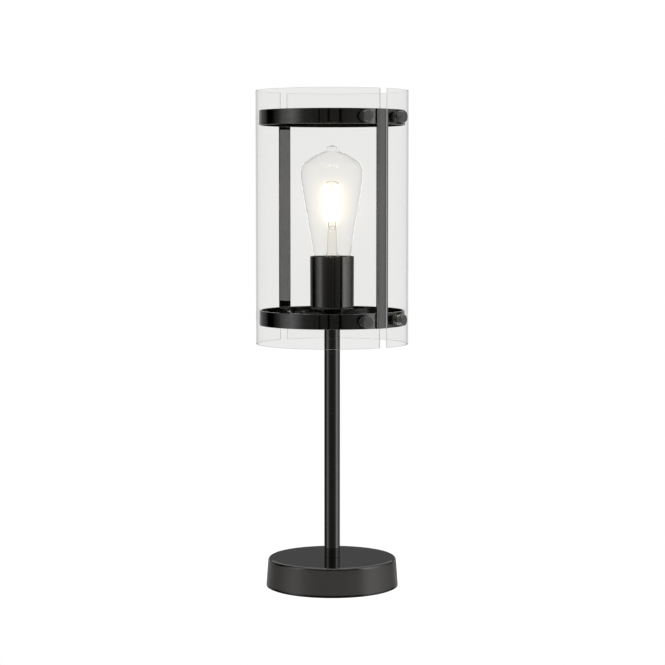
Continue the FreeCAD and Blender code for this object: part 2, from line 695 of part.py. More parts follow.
def holder_cap():
    """Lower half of the lampholder: a bowl with a threaded boss and a ledge for the insert."""
    return turned((
        (NIPPLE_THREAD_R, HOLDER_Z),
        (HOLDER_R - CUP_EDGE, HOLDER_Z),
        (HOLDER_R, HOLDER_Z + CUP_EDGE),
        (HOLDER_R, HOLDER_RIM_Z),
        (HOLDER_R - HOLDER_WALL, HOLDER_RIM_Z),
        (HOLDER_R - HOLDER_WALL, INSERT_PLATE_Z),
        (HOLDER_R - HOLDER_WALL - HOLDER_LEDGE, INSERT_PLATE_Z),
        (HOLDER_R - HOLDER_WALL - HOLDER_LEDGE, HOLDER_FLOOR_Z),
        (HOLDER_BOSS_R, HOLDER_FLOOR_Z),
        (HOLDER_BOSS_R, HOLDER_FLOOR_Z + HOLDER_BOSS_H),
        (NIPPLE_THREAD_R, HOLDER_FLOOR_Z + HOLDER_BOSS_H),
    ))


def holder_insert():
    """Disc that carries the contacts, drilled for the wire screws."""
    disc = rod(HOLDER_R - HOLDER_WALL - THREAD_CLEAR, INSERT_PLATE_Z, INSERT_TOP_Z)
    for side in (-1, 1):
        place = Vector(side * HOLDER_SCREW_OUT, 0, INSERT_PLATE_Z)
        hole = Part.makeCylinder(HOLDER_SCREW_R + THREAD_CLEAR, HOLDER_SCREW_L + THREAD_CLEAR, place, UP)
        disc = disc.cut(hole)
    return disc


def holder_screws():
    """The two screws under the insert that hold the wires' ends."""
    screws = []
    for side in (-1, 1):
        place = Vector(side * HOLDER_SCREW_OUT, 0, INSERT_PLATE_Z - HOLDER_SCREW_HEAD_H)
        head = Part.makeCylinder(HOLDER_SCREW_HEAD_R, HOLDER_SCREW_HEAD_H, place, UP)
        shank = Part.makeCylinder(HOLDER_SCREW_R, HOLDER_SCREW_HEAD_H + HOLDER_SCREW_L, place, UP)
        screws.append(head.fuse(shank).removeSplitter())
    return screws


def holder_skirt():
    """Upper half of the lampholder: a sleeve that clamps the insert and holds the threaded shell."""
    bore = SHELL_R + SHELL_T + THREAD_CLEAR
    pocket = HOLDER_R - HOLDER_WALL
    return turned((
        (pocket, HOLDER_RIM_Z),
        (HOLDER_R, HOLDER_RIM_Z),
        (HOLDER_R, MOUTH_Z - MOUTH_CHAMFER),
        (HOLDER_R - MOUTH_CHAMFER, MOUTH_Z),
        (bore + MOUTH_CHAMFER, MOUTH_Z),
        (bore, MOUTH_Z - MOUTH_CHAMFER),
        (bore, INSERT_TOP_Z + SHELL_T),
        (pocket, INSERT_TOP_Z + SHELL_T),
    ))


def holder_shell():
    """Threaded metal shell, turned in at its foot where it sits on the insert."""
    return turned((
        (SHELL_FLANGE_R, INSERT_TOP_Z),
        (SHELL_R + SHELL_T, INSERT_TOP_Z),
        (SHELL_R + SHELL_T, MOUTH_Z - SHELL_BELOW_MOUTH),
        (SHELL_R, MOUTH_Z - SHELL_BELOW_MOUTH),
        (SHELL_R, INSERT_TOP_Z + SHELL_T),
        (SHELL_FLANGE_R, INSERT_TOP_Z + SHELL_T),
    ))


def centre_contact():
    """Bowed spring strip under the bulb's tip."""
    ends = CONTACT_L / 2
    path = []
    for lift in (0.0, CONTACT_T):
        left = Vector(-ends, 0, INSERT_TOP_Z + lift)
        right = Vector(ends, 0, INSERT_TOP_Z + lift)
        path.append((left, Vector(0, 0, INSERT_TOP_Z + CONTACT_RISE + lift), right))
    (low_left, low_mid, low_right), (top_left, top_mid, top_right) = path
    outline = Part.Wire([
        Part.Arc(low_left, low_mid, low_right).toShape(),
        Part.LineSegment(low_right, top_right).toShape(),
        Part.Arc(top_right, top_mid, top_left).toShape(),
        Part.LineSegment(top_left, low_left).toShape(),
    ])
    strip = Part.Face(outline).extrude(Vector(0, CONTACT_W, 0))
    strip.translate(Vector(0, -CONTACT_W / 2, 0))
    return strip


def bulb_tip():
    """Contact button in the middle of the bulb's cap."""
    button = rod(TIP_R, BULB_Z, BULB_Z + TIP_H)
    return round_edges(button, TIP_R, BULB_Z, TIP_CROWN)


def bulb_insulator():
    """Black glass between the button and the cap's shell."""
    return turned((
        (0, BULB_Z + TIP_H),
        (TIP_R + TIP_CROWN, BULB_Z + TIP_H),
        (BULB_INSULATOR_R, BULB_Z + BULB_INSULATOR_H),
        (0, BULB_Z + BULB_INSULATOR_H),
    ))


def bulb_cap():
    """Thin metal screw cap, from the insulator up to the glass."""
    foot = BULB_Z + BULB_INSULATOR_H
    return turned((
        (0, foot),
        (BULB_INSULATOR_R, foot),
        (CAP_R, BULB_Z + CAP_THREAD_FROM),
        (CAP_R, BULB_Z + CAP_TOP),
        (CAP_R - CAP_WALL, BULB_Z + CAP_TOP),
        (CAP_R - CAP_WALL, BULB_Z + CAP_THREAD_FROM + CAP_WALL),
        (BULB_INSULATOR_R, foot + CAP_WALL),
        (0, foot + CAP_WALL),
    ))


def bulb_glass():
    """Blown envelope with a slow taper, round shoulders and a pip, open at its neck."""
    corners = [Vector(radius, 0, BULB_Z + height) for radius, height, _ in BULB_OUTLINE]
    bends = [bend for _, _, bend in BULB_OUTLINE[1:-1]]
    outside = rounded_path(corners, bends)
    skin = outside.revolve(ORIGIN, UP, 360)
    foot = Part.Face(Part.Wire(Part.Circle(Vector(0, 0, corners[0].z), UP, corners[0].x).toShape()))
    body = Part.Solid(Part.Shell(skin.Faces + [foot]))
    lower_faces = [
        face for face in body.Faces
        if face.BoundBox.ZMax < corners[0].z + BULB_WALL / 2
    ]
    return body.makeThickness(lower_faces, -BULB_WALL, 0.001)


def bulb_mount():
    """Glass foot of the light source: a flare that closes the neck, a pressed top and a thin rod."""
    return turned((
        (MOUNT_FOOT_R - MOUNT_WALL, BULB_Z + MOUNT_FOOT_H),
        (MOUNT_FOOT_R, BULB_Z + MOUNT_FOOT_H),
        (MOUNT_FOOT_R, BULB_Z + MOUNT_FOOT_H + MOUNT_WALL),
        (MOUNT_WAIST_R, BULB_Z + MOUNT_WAIST_H),
        (MOUNT_PRESS_R, BULB_Z + MOUNT_PRESS_H),
        (MOUNT_ROD_R, BULB_Z + MOUNT_PRESS_H),
        (MOUNT_ROD_R, BULB_Z + MOUNT_ROD_H),
        (0, BULB_Z + MOUNT_ROD_H),
        (0, BULB_Z + MOUNT_HOLLOW_H + MOUNT_WAIST_R),
        (MOUNT_PRESS_R - MOUNT_WALL, BULB_Z + MOUNT_HOLLOW_H),
        (MOUNT_WAIST_R - MOUNT_WALL, BULB_Z + MOUNT_WAIST_H),
    ))


def filament_angles():
    """Compass angle of each filament."""
    step = 360.0 / FILAMENT_COUNT
    return [step * (i + 0.5) for i in range(FILAMENT_COUNT)]


def filament_end(angle, end):
    """Point at one end of a filament."""
    radius, height = end
    return outward(angle) * radius + Vector(0, 0, BULB_Z + height)


def pin(radius, start, end):
    """Round pin from one point to another."""
    return Part.makeCylinder(radius, (end - start).Length, start, end - start)


def bulb_filaments():
    """Slim light-giving sticks, leaning outwards round the rod."""
    return [
        pin(FILAMENT_R, filament_end(angle, FILAMENT_FOOT), filament_end(angle, FILAMENT_HEAD))
        for angle in filament_angles()
    ]


def bulb_leads():
    """Support wires: two feet that each carry two filaments, and a star round the rod's top."""
    drop = Vector(0, 0, FILAMENT_R + LEAD_R)
    press_z = BULB_Z + MOUNT_PRESS_H
    solids = []
    for side in (-1, 1):
        knee = Vector(side * LEAD_OUT, 0, filament_end(0, FILAMENT_FOOT).z - drop.z)
        arms = [pin(LEAD_R, Vector(knee.x, 0, press_z), knee + Vector(0, 0, LEAD_R))]
        for angle in filament_angles():
            if outward(angle).x * side > 0:
                arms.append(pin(LEAD_R, knee, filament_end(angle, FILAMENT_FOOT) - drop))
        solids.append(arms[0].fuse(arms[1:]).removeSplitter())
    star_z = filament_end(0, FILAMENT_HEAD).z + drop.z
    hub = tube(MOUNT_ROD_R + 2 * LEAD_R, MOUNT_ROD_R + THREAD_CLEAR, star_z - LEAD_R, star_z + LEAD_R)
    reach = FILAMENT_HEAD[0]
    arms = [spoke(LEAD_R, angle, star_z, MOUNT_ROD_R + LEAD_R, reach) for angle in filament_angles()]
    solids.append(hub.fuse(arms).removeSplitter())
    return solids


def export(node, shape):
    """Write one node, given as a solid or as a list of separate solids, and print its size."""
    solids = [solid for piece in shape for solid in piece.Solids] if isinstance(shape, list) else shape.Solids
    whole = solids[0] if len(solids) == 1 else Part.makeCompound(solids)
    if not whole.isValid() or whole.Volume <= 0:
        raise ValueError(f"{node} is not a valid solid")
    whole.exportStep(f"parts/{node}.step")
    print(f"{node}: {len(solids)} solid(s), {whole.Volume:.1f} mm3")


def thumbscrew_places():
    """Name, compass angle and height of each thumbscrew."""
    return [
        (f"{level}_{bar_name}_{side}", BAR_ANGLES[bar_name] + offset, z)
        for level, z in RING_LEVELS.items()
        for bar_name, sides in THUMB_SIDES.items()
        for side, offset in sides.items()
    ]


def build():
    """Make every piece and write its file."""
    os.makedirs("parts", exist_ok=True)
    cover = base_cover()
    front_left, rear_right = glass_panels()
    pieces = {
        "base_cover": cover,
        "base_weight": base_weight(),
        "base_plate": base_plate(),
        "base_plate_screws": [plate_screw(angle) for angle in PLATE_SCREW_ANGLES],
        "base_pad": base_pad(),
        "cord_grommet": cord_grommet(cover),
        "base_nipple": nipple(NUT_Z - NUT_SHOW, BASE_TOP_Z + NIPPLE_IN_INSERT),
        "base_nut": base_nut(),
        "base_lock_washer": base_lock_washer(),
        "earth_tag": earth_tag(),
        "terminal_block": terminal_block(),
        "terminal_screws": terminal_screws(),
        "live_wire": supply_wire(-1),
        "neutral_wire": supply_wire(1),
        "earth_wire": earth_wire(),
        "stem_tube": stem_tube(),
        "stem_lower_insert": stem_insert(BASE_TOP_Z),
        "stem_upper_insert": stem_insert(CROSSBAR_Z - INSERT_H),
        "holder_nipple": nipple(CROSSBAR_Z - NIPPLE_IN_INSERT, HOLDER_FLOOR_Z + HOLDER_BOSS_H),
        "lower_ring": ring_band(LOWER_RING_Z),
        "upper_ring": ring_band(UPPER_RING_Z),
        "front_bar": bar(BAR_ANGLES["front"]),
        "rear_bar": bar(BAR_ANGLES["rear"]),
        "cap_nuts": [cap_nut(angle, level) for angle in BAR_ANGLES.values() for level in RING_LEVELS],
        "crossbar": crossbar(),
        "front_left_glass": front_left,
        "rear_right_glass": rear_right,
        "glass_bushes": [glass_bush(angle, z) for _, angle, z in thumbscrew_places()],
        "cup_spacer": cup_spacer(),
        "holder_cup": holder_cup(),
        "holder_cap": holder_cap(),
        "holder_insert": holder_insert(),
        "holder_screws": holder_screws(),
        "holder_skirt": holder_skirt(),
        "holder_shell": holder_shell(),
        "centre_contact": centre_contact(),
        "bulb_tip": bulb_tip(),
        "bulb_insulator": bulb_insulator(),
        "bulb_cap": bulb_cap(),
        "bulb_glass": bulb_glass(),
        "bulb_mount": bulb_mount(),
        "bulb_filaments": bulb_filaments(),
        "bulb_leads": bulb_leads(),
    }
    for place, angle, z in thumbscrew_places():
        pieces[f"{place}_thumbscrew"] = thumbscrew(angle, z)
        pieces[f"{place}_washer"] = thumb_washer(angle, z)
    for node, shape in pieces.items():
        export(node, shape)


build()
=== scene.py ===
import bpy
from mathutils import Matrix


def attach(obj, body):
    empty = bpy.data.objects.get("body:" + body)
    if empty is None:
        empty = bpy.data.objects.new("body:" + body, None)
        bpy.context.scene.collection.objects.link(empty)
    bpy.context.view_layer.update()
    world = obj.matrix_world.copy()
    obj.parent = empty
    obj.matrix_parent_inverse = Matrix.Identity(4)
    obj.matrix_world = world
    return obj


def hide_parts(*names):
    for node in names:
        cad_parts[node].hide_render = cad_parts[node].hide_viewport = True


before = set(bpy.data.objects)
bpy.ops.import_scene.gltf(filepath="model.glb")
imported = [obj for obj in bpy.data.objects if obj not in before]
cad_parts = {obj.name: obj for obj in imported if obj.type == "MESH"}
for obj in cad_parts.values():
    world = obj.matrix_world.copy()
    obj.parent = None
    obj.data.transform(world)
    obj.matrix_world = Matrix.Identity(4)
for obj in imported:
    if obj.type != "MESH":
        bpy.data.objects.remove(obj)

"""Looks of a table lamp: weighted base, stem, two rings and bars, glass halves, lampholder and bulb.

Sizes in the classes are in millimetres, the origin is on the floor under the stem, +Z is up and -Y is
the front. An angle is a compass angle round the stem, in degrees: 0 is the front and 90 is +X.
"""

import logging
import math
from dataclasses import dataclass, field, replace
from enum import Enum
from itertools import product
from typing import ClassVar

import bmesh
import bpy
from mathutils import Matrix, Vector

log = logging.getLogger("lamp")

MM = 0.001
STATIC = "lamp"
BULB = "bulb"
UP = Vector((0, 0, 1))
WHITE = (1.0, 1.0, 1.0)
EASED = "SMOOTHSTEP"
MERGE = MM / 1000  # points nearer than this are one
GRAIN_SPREAD = (0.3, 0.7)  # most values of a grain lie between these
RELIEF_DEPTH = MM / 10
RELIEF_DETAIL = 4.0
DRILL_SIDES = 48
DRILL_CLEAR = 2.0  # how far a drill stands out of the wall
NIPPLE_HOLE_R = 5.3  # hole round the hollow nipples, which pass through the base and the cup
SCREW_OFFSET = 16.5  # turn from a bar to the thumbscrews beside it

Point = tuple[float, float]
Colour = tuple[float, float, float]
Corner = tuple[float, ...]
Item = bpy.types.Object
Socket = bpy.types.NodeSocket


class Level(Enum):
    """A band ring, by its mid-height."""

    LOWER = 274.0
    UPPER = 474.4


class Bar(Enum):
    """An upright bar, by its compass angle."""

    FRONT = 41.5
    REAR = 221.5


class Side(Enum):
    """The side of a bar that a thumbscrew is on, as the turn from the front bar."""

    LEFT = -1
    RIGHT = 1


class Grain(Enum):
    """The procedural pattern that breaks up a finish."""

    CLOUD = "ShaderNodeTexNoise"
    CELL = "ShaderNodeTexVoronoi"
    STRIPE = "ShaderNodeTexWave"


def outward(angle: float) -> Vector:
    """Return the level unit vector that points away from the stem at a compass angle."""
    turn = math.radians(angle)
    return Vector((math.sin(turn), -math.cos(turn), 0.0))


def spot(angle: float, radius: float, height: float) -> Vector:
    """Return the point at a compass angle, a distance from the stem's axis and a height."""
    return outward(angle) * radius + UP * height


def screw_angle(bar: Bar, side: Side) -> float:
    """Return the compass angle of the thumbscrews on one side of a bar."""
    return bar.value + side.value * SCREW_OFFSET


@dataclass
class Tree:
    """A node tree under construction."""

    tree: bpy.types.NodeTree

    def add(self, kind: str, inputs: dict | None = None, **settings: object) -> bpy.types.Node:
        """Add a node, set it up and wire it.

        Args:
            kind: Blender's identifier of the node type.
            inputs: Socket name or number to a value, or to the output that feeds it.
            settings: Properties of the node itself.

        Returns:
            The new node.
        """
        node = self.tree.nodes.new(kind)
        for name, value in settings.items():
            setattr(node, name, value)
        for key, value in (inputs or {}).items():
            if isinstance(value, Socket):
                self.tree.links.new(value, node.inputs[key])
            else:
                node.inputs[key].default_value = value
        return node

    def maths(self, operation: str, *values: object) -> Socket:
        """Add a Math node for an operation on numbers or outputs, and return its result."""
        return self.add("ShaderNodeMath", dict(enumerate(values)), operation=operation).outputs[0]

    def ramp(self, value: Socket, source: Point, target: Point = (0, 1), kind: str = "LINEAR") -> Socket:
        """Map one range of a value to another and clamp it, with a kind of interpolation between."""
        sockets = dict(enumerate((value, *source, *target)))
        return self.add("ShaderNodeMapRange", sockets, interpolation_type=kind).outputs[0]

    def blend(self, factor: object, first: object, second: object) -> Socket:
        """Mix two colours.

        Args:
            factor: Share of the second colour.
            first: A colour or an output.
            second: A colour or an output.

        Returns:
            The mixed colour's output.
        """
        colours = [value if isinstance(value, Socket) else (*value, 1.0) for value in (first, second)]
        sockets = dict(zip((0, 6, 7), (factor, *colours)))
        return self.add("ShaderNodeMix", sockets, data_type="RGBA").outputs[2]


@dataclass(frozen=True)
class Zone:
    """A duller part of a piece: the faces that carry a mark, or all that lies between two heights. Its
    tones and glow can be painted light: a painted reflection or a painted glow.
    """

    tones: tuple[Colour, Colour]
    roughness: float
    transmission: float = 0.0
    shine: float = 1.0
    # A zone's glow is a painted glow: light of its own on faces that are no lamp.
    glow: float = 0.0
    painted_glow_from: float = 0.7
    above: float = 0.0
    below: float = 0.0
    soft: float = 0.2
    mark: str = ""

    def shares(self, tree: Tree, place: Socket) -> tuple[Socket, ...]:
        """Tell where the zone is.

        Args:
            tree: The material's tree.
            place: Output with the object coordinates.

        Returns:
            An output that is 1 in the zone and 0 outside it, and one that is 1 under the zone too.
        """
        if self.mark:
            return (tree.add("ShaderNodeAttribute", attribute_name=self.mark).outputs["Fac"],) * 2
        height = tree.add("ShaderNodeSeparateXYZ", {0: place}).outputs["Z"]
        over, under = (
            tree.ramp(height, ((level - self.soft) * MM, (level + self.soft) * MM), values)
            for level, values in ((self.above, (0, 1)), (self.below, (1, 0)))
        )
        return tree.maths("MULTIPLY", over, under), under


@dataclass(frozen=True)
class Finish:
    """A procedural surface finish.

    The grain varies the colour between two tones and the roughness between two values, and a second,
    finer grain gives the relief.
    """

    name: str
    slot: str
    tones: tuple[Colour, Colour]
    roughness: Point
    metallic: float = 0.0
    ior: float = 1.5
    transmission: float = 0.0
    grain: Grain = Grain.CLOUD
    scale: float = 60.0
    relief: float = 0.05
    relief_scale: float = 900.0
    sheen: float = 0.0
    glow: float = 0.0
    glow_colour: Colour = WHITE
    coat: float = 0.0
    zone: Zone | None = None

    def build(self) -> bpy.types.Material:
        """Make the material, or return it if it is there already.

        Returns:
            The material with its node tree.
        """
        known = bpy.data.materials.get(self.name)
        if known:
            return known
        material = bpy.data.materials.new(self.name)
        material.use_nodes = True
        material.node_tree.nodes.clear()
        tree = Tree(material.node_tree)
        place = tree.add("ShaderNodeTexCoord").outputs["Object"]
        pattern = tree.add(self.grain.value, {"Vector": place, "Scale": self.scale}).outputs[0]
        colour = tree.blend(pattern, *self.tones)
        roughness = tree.ramp(pattern, GRAIN_SPREAD, self.roughness)
        mixed = {"Transmission Weight": self.transmission, "Emission Strength": self.glow}
        zone = self.zone
        if zone:
            share, dulled = zone.shares(tree, place)
            # A zone's tones can paint light, as the base side's painted reflection does.
            colour = tree.blend(share, colour, tree.blend(pattern, *zone.tones))
            roughness = tree.maths("MAXIMUM", roughness, tree.ramp(share, (0, 1), (0, zone.roughness)))
            if self.transmission:
                levels = (self.transmission, zone.transmission)
                mixed["Transmission Weight"] = tree.ramp(share, (0, 1), levels)
            # A zone's glow is painted light, as on the glass's ground left ends.
            if zone.glow:
                mixed["Emission Strength"] = tree.ramp(share, (zone.painted_glow_from, 1), (self.glow, zone.glow))
            if zone.shine < 1:
                mixed["Specular Tint"] = tree.blend(dulled, WHITE, (zone.shine,) * 3)
        fine = {"Vector": place, "Scale": self.relief_scale, "Detail": RELIEF_DETAIL}
        height = tree.add("ShaderNodeTexNoise", fine).outputs[0]
        bump = tree.add("ShaderNodeBump", {
            "Strength": self.relief, "Distance": RELIEF_DEPTH, "Height": height,
        })
        shader = tree.add("ShaderNodeBsdfPrincipled", {
            "Base Color": colour,
            "Roughness": roughness,
            "Metallic": self.metallic,
            "IOR": self.ior,
            "Sheen Weight": self.sheen,
            "Coat Weight": self.coat,
            "Coat Roughness": self.roughness[0],
            "Emission Color": (*self.glow_colour, 1.0),
            "Normal": bump.outputs[0],
            **mixed,
        })
        tree.add("ShaderNodeOutputMaterial", {"Surface": shader.outputs[0]})
        if self.glow or (zone and zone.glow):
            material.cycles.emission_sampling = "NONE"
        return material

    def dress(self, item: Item) -> None:
        """Give an object this finish alone."""
        item.data.materials.clear()
        item.data.materials.append(self.build())


GLOSS_BLACK = Finish(
    "gloss_black_lacquer", "gloss_black", ((0.0026, 0.0021, 0.0012), (0.0036, 0.0030, 0.0018)),
    (0.008, 0.02), ior=3.0, scale=25.0, relief=0.006, relief_scale=420.0,
)
# Painted light on the base: the side's lighter satin tone is a painted reflection, and the dark gloss
# strip left at the foot, under 2.7 mm, is a painted shadow line.
BASE_BLACK = replace(
    GLOSS_BLACK, name="base_black_satin_side",
    zone=Zone(((0.046, 0.044, 0.040), (0.054, 0.051, 0.047)), 0.30, shine=0.4, above=2.7, below=27.2),
)
THUMB_BLACK = replace(
    GLOSS_BLACK, name="thumbscrew_black", tones=((0.042, 0.041, 0.039), (0.050, 0.049, 0.046)),
    roughness=(0.20, 0.26),
)
# The zone on the glass's ground faces carries a painted glow, which lights the ground left ends though
# they are no lamp.
SHADE_GLASS = Finish(
    "clear_shade_glass", "clear_glass", ((0.990, 0.990, 0.986), (0.975, 0.975, 0.970)), (0.0, 0.008),
    transmission=1.0, ior=1.035, scale=14.0, relief=0.004, relief_scale=70.0,
    zone=Zone(((0.90, 0.90, 0.88), (0.86, 0.86, 0.84)), 0.45, transmission=0.2, glow=0.22, mark="ground"),
)
BULB_GLASS = Finish(
    "thin_bulb_glass", "bulb_glass", ((1.0, 0.998, 0.990), (0.998, 0.994, 0.982)), (0.0, 0.012),
    transmission=1.0, ior=1.055, scale=22.0, relief=0.006, relief_scale=60.0, coat=0.2,
)
MOUNT_GLASS = Finish(
    "bulb_mount_glass", "bulb_glass", ((0.99, 0.985, 0.96), (0.96, 0.955, 0.93)), (0.01, 0.05),
    transmission=1.0, ior=1.06, scale=80.0, relief_scale=300.0, coat=0.1,
)
FILAMENT = Finish(
    "lit_filament_coat", "filament", ((1.0, 0.72, 0.30), (1.0, 0.80, 0.42)), (0.5, 0.7),
    scale=700.0, glow=26.0, glow_colour=(1.0, 0.80, 0.52),
)
NICKEL = Finish(
    "nickel_plate", "nickel_brass", ((0.68, 0.66, 0.61), (0.60, 0.58, 0.54)), (0.16, 0.30),
    metallic=1.0, scale=120.0,
)
ZINC = Finish(
    "zinc_plate", "zinc_steel", ((0.60, 0.61, 0.62), (0.48, 0.50, 0.52)), (0.25, 0.42),
    metallic=1.0, grain=Grain.CELL, scale=260.0, relief=0.10,
)
STEEL = Finish(
    "bright_steel_wire", "steel_wire", ((0.58, 0.58, 0.57), (0.50, 0.50, 0.50)), (0.18, 0.30),
    metallic=1.0, scale=300.0, relief=0.04,
)
BRASS = Finish(
    "plain_brass", "brass", ((0.73, 0.53, 0.24), (0.62, 0.44, 0.18)), (0.20, 0.38),
    metallic=1.0, scale=180.0, relief=0.08,
)
SOLDER = Finish(
    "soft_solder", "solder", ((0.60, 0.60, 0.61), (0.44, 0.44, 0.46)), (0.25, 0.5),
    metallic=1.0, scale=500.0, relief=0.4,
)
CAST_IRON = Finish(
    "grey_cast_iron", "cast_iron", ((0.10, 0.10, 0.105), (0.05, 0.05, 0.052)), (0.55, 0.8),
    metallic=0.3, grain=Grain.CELL, scale=320.0, relief=0.6, relief_scale=500.0,
)
SHEET = Finish(
    "black_painted_sheet", "black_sheet", ((0.018, 0.018, 0.018), (0.026, 0.026, 0.026)), (0.38, 0.5),
    scale=90.0, relief=0.15,
)
FOAM = Finish(
    "black_foam_pad", "pad", ((0.012, 0.012, 0.012), (0.022, 0.022, 0.021)), (0.85, 0.95),
    grain=Grain.CELL, scale=1400.0, relief=0.8, relief_scale=1800.0, sheen=0.2,
)
BLACK_PLASTIC = Finish(
    "moulded_black_plastic", "black_plastic", ((0.010, 0.010, 0.010), (0.016, 0.016, 0.016)), (0.22, 0.34),
    scale=150.0, relief=0.10, relief_scale=1200.0,
)
WHITE_PLASTIC = Finish(
    "moulded_white_plastic", "white_plastic", ((0.78, 0.77, 0.73), (0.72, 0.71, 0.67)), (0.42, 0.55),
    scale=110.0, relief=0.12,
)
PORCELAIN = Finish(
    "glazed_porcelain", "porcelain", ((0.83, 0.82, 0.78), (0.78, 0.77, 0.73)), (0.08, 0.16),
    scale=70.0, coat=0.5,
)
VITRITE = Finish(
    "black_vitreous_glass", "black_vitrite", ((0.006, 0.006, 0.007), (0.012, 0.011, 0.014)), (0.05, 0.12),
    scale=200.0, relief=0.10,
)
SILICONE = Finish(
    "translucent_silicone", "silicone", ((0.82, 0.83, 0.82), (0.74, 0.76, 0.75)), (0.35, 0.5),
    transmission=0.55, ior=1.41, scale=160.0, relief=0.12,
)
BROWN_SLEEVE = Finish(
    "brown_wire_sleeve", "brown_wire", ((0.12, 0.045, 0.02), (0.09, 0.033, 0.015)), (0.35, 0.5),
    scale=200.0, relief=0.12,
)
BLUE_SLEEVE = replace(
    BROWN_SLEEVE, name="blue_wire_sleeve", slot="blue_wire",
    tones=((0.02, 0.07, 0.30), (0.015, 0.055, 0.24)),
)
STRIPED_SLEEVE = replace(
    BROWN_SLEEVE, name="striped_wire_sleeve", slot="earth_wire",
    tones=((0.03, 0.22, 0.04), (0.72, 0.60, 0.05)), grain=Grain.STRIPE, scale=70.0,
)
BOARD = Finish(
    "white_board", "", ((0.92, 0.92, 0.92), (0.90, 0.90, 0.90)), (0.8, 0.9),
    scale=3.0, relief=0.02, glow=0.95,
)

CARRIED_NODES: dict[Finish, tuple[str, ...]] = {
    GLOSS_BLACK: ("front_bar", "rear_bar", "crossbar"),
    CAST_IRON: ("base_weight",),
    SHEET: ("base_plate",),
    FOAM: ("base_pad",),
    ZINC: ("base_plate_screws", "base_nipple", "base_nut", "base_lock_washer",
           "stem_lower_insert", "stem_upper_insert", "holder_nipple"),
    BRASS: ("earth_tag",),
    NICKEL: ("terminal_screws", "holder_screws", "holder_shell", "centre_contact"),
    WHITE_PLASTIC: ("terminal_block",),
    BLACK_PLASTIC: ("cord_grommet", "holder_cap", "holder_skirt"),
    PORCELAIN: ("holder_insert",),
    SILICONE: ("glass_bushes",),
    BROWN_SLEEVE: ("live_wire",),
    BLUE_SLEEVE: ("neutral_wire",),
    STRIPED_SLEEVE: ("earth_wire",),
    SOLDER: ("bulb_tip",),
    VITRITE: ("bulb_insulator",),
}


def link(item: Item) -> Item:
    """Link a new object to the scene, and return it."""
    bpy.context.scene.collection.objects.link(item)
    return item


def evaluated(item: Item) -> bpy.types.Mesh:
    """Return a plain mesh of an object with its modifiers."""
    graph = bpy.context.evaluated_depsgraph_get()
    return bpy.data.meshes.new_from_object(item.evaluated_get(graph))


def settle(item: Item) -> None:
    """Turn an object and its modifiers into a plain mesh, under the same name."""
    item.data = evaluated(item)
    item.modifiers.clear()


def tidy(item: Item, sharp: float = 35.0) -> Item:
    """Merge doubles, turn faces outwards and shade smooth, so that large faces stay true.

    Args:
        item: The object to clean.
        sharp: Edges that turn more than this stay hard, in degrees.

    Returns:
        The same object.
    """
    shape = bmesh.new()
    shape.from_mesh(item.data)
    bmesh.ops.remove_doubles(shape, verts=shape.verts, dist=MERGE)
    bmesh.ops.recalc_face_normals(shape, faces=shape.faces)
    for face in shape.faces:
        face.smooth = True
    for edge in shape.edges:
        edge.smooth = len(edge.link_faces) == 2 and edge.calc_face_angle(0.0) < math.radians(sharp)
    shape.to_mesh(item.data)
    shape.free()
    shading = item.modifiers.new("shading", "WEIGHTED_NORMAL")
    shading.keep_sharp = True
    shading.weight = 100
    settle(item)
    return item


def mesh(name: str, verts: list[Vector], faces: list[tuple[int, ...]]) -> Item:
    """Make a closed object from millimetre points; points that fall together are merged.

    Args:
        name: Name of the piece.
        verts: Corners in millimetres.
        faces: Corner numbers of each face.

    Returns:
        The object, with its faces turned outwards.
    """
    shape = bmesh.new()
    corners = [shape.verts.new(v * MM) for v in verts]
    for face in faces:
        shape.faces.new([corners[c] for c in face])
    bmesh.ops.remove_doubles(shape, verts=shape.verts, dist=MERGE)
    bmesh.ops.dissolve_degenerate(shape, edges=shape.edges, dist=MERGE)
    data = bpy.data.meshes.new(name)
    shape.to_mesh(data)
    shape.free()
    return tidy(link(bpy.data.objects.new(name, data)))


def bands(rows: int, sides: int) -> list[tuple[int, ...]]:
    """List the faces between rows of corners, where each row closes on itself.

    Args:
        rows: Number of rows.
        sides: Number of corners in a row.

    Returns:
        Corner numbers of each face.
    """
    return [
        (a + j, a + (j + 1) % sides, a + sides + (j + 1) % sides, a + sides + j)
        for a in range(0, (rows - 1) * sides, sides) for j in range(sides)
    ]


def lathe(name: str, outline: list[Corner], steps: int) -> Item:
    """Turn a closed outline round the stem's axis.

    Args:
        name: Name of the piece.
        outline: Radius and height of each corner; a corner on the axis has radius 0.
        steps: Number of segments round.

    Returns:
        The closed solid of revolution.
    """
    verts = [spot(360.0 * i / steps, r, z) for i in range(steps) for r, z, *_ in outline]
    n = len(outline)
    faces = [
        tuple(c % len(verts) for c in face) for face in bands(steps + 1, n)
        if any(outline[c % n][0] for c in face)
    ]
    return mesh(name, verts, faces)


def facing(angle: float, z: float = 0.0) -> Matrix:
    """Return the move that lays a solid turned round +Z along a compass angle, at a height."""
    spin = Matrix((UP.cross(outward(angle)), UP, outward(angle))).transposed().to_4x4()
    return Matrix.Translation((0, 0, z * MM)) @ spin


def drill(item: Item, holes: list[tuple[float, float, float]], near: float, far: float) -> None:
    """Drill level holes that point away from the stem.

    Args:
        item: The object to drill.
        holes: Radius, compass angle and height of each.
        near: Distance of their inner ends from the stem's axis.
        far: Distance of their outer ends.
    """
    cutters = [lathe("cutter", section(0, radius, near, far), DRILL_SIDES) for radius, _, _ in holes]
    for cutter, (_, angle, z) in zip(cutters, holes):
        cutter.data.transform(facing(angle, z))
        modifier = item.modifiers.new("hole", "BOOLEAN")
        modifier.operation = "DIFFERENCE"
        modifier.solver = "EXACT"
        modifier.object = cutter
    settle(item)
    remove(*cutters)
    tidy(item)


def remove(*items: Item) -> None:
    """Delete objects that are used up."""
    for item in items:
        bpy.data.objects.remove(item)


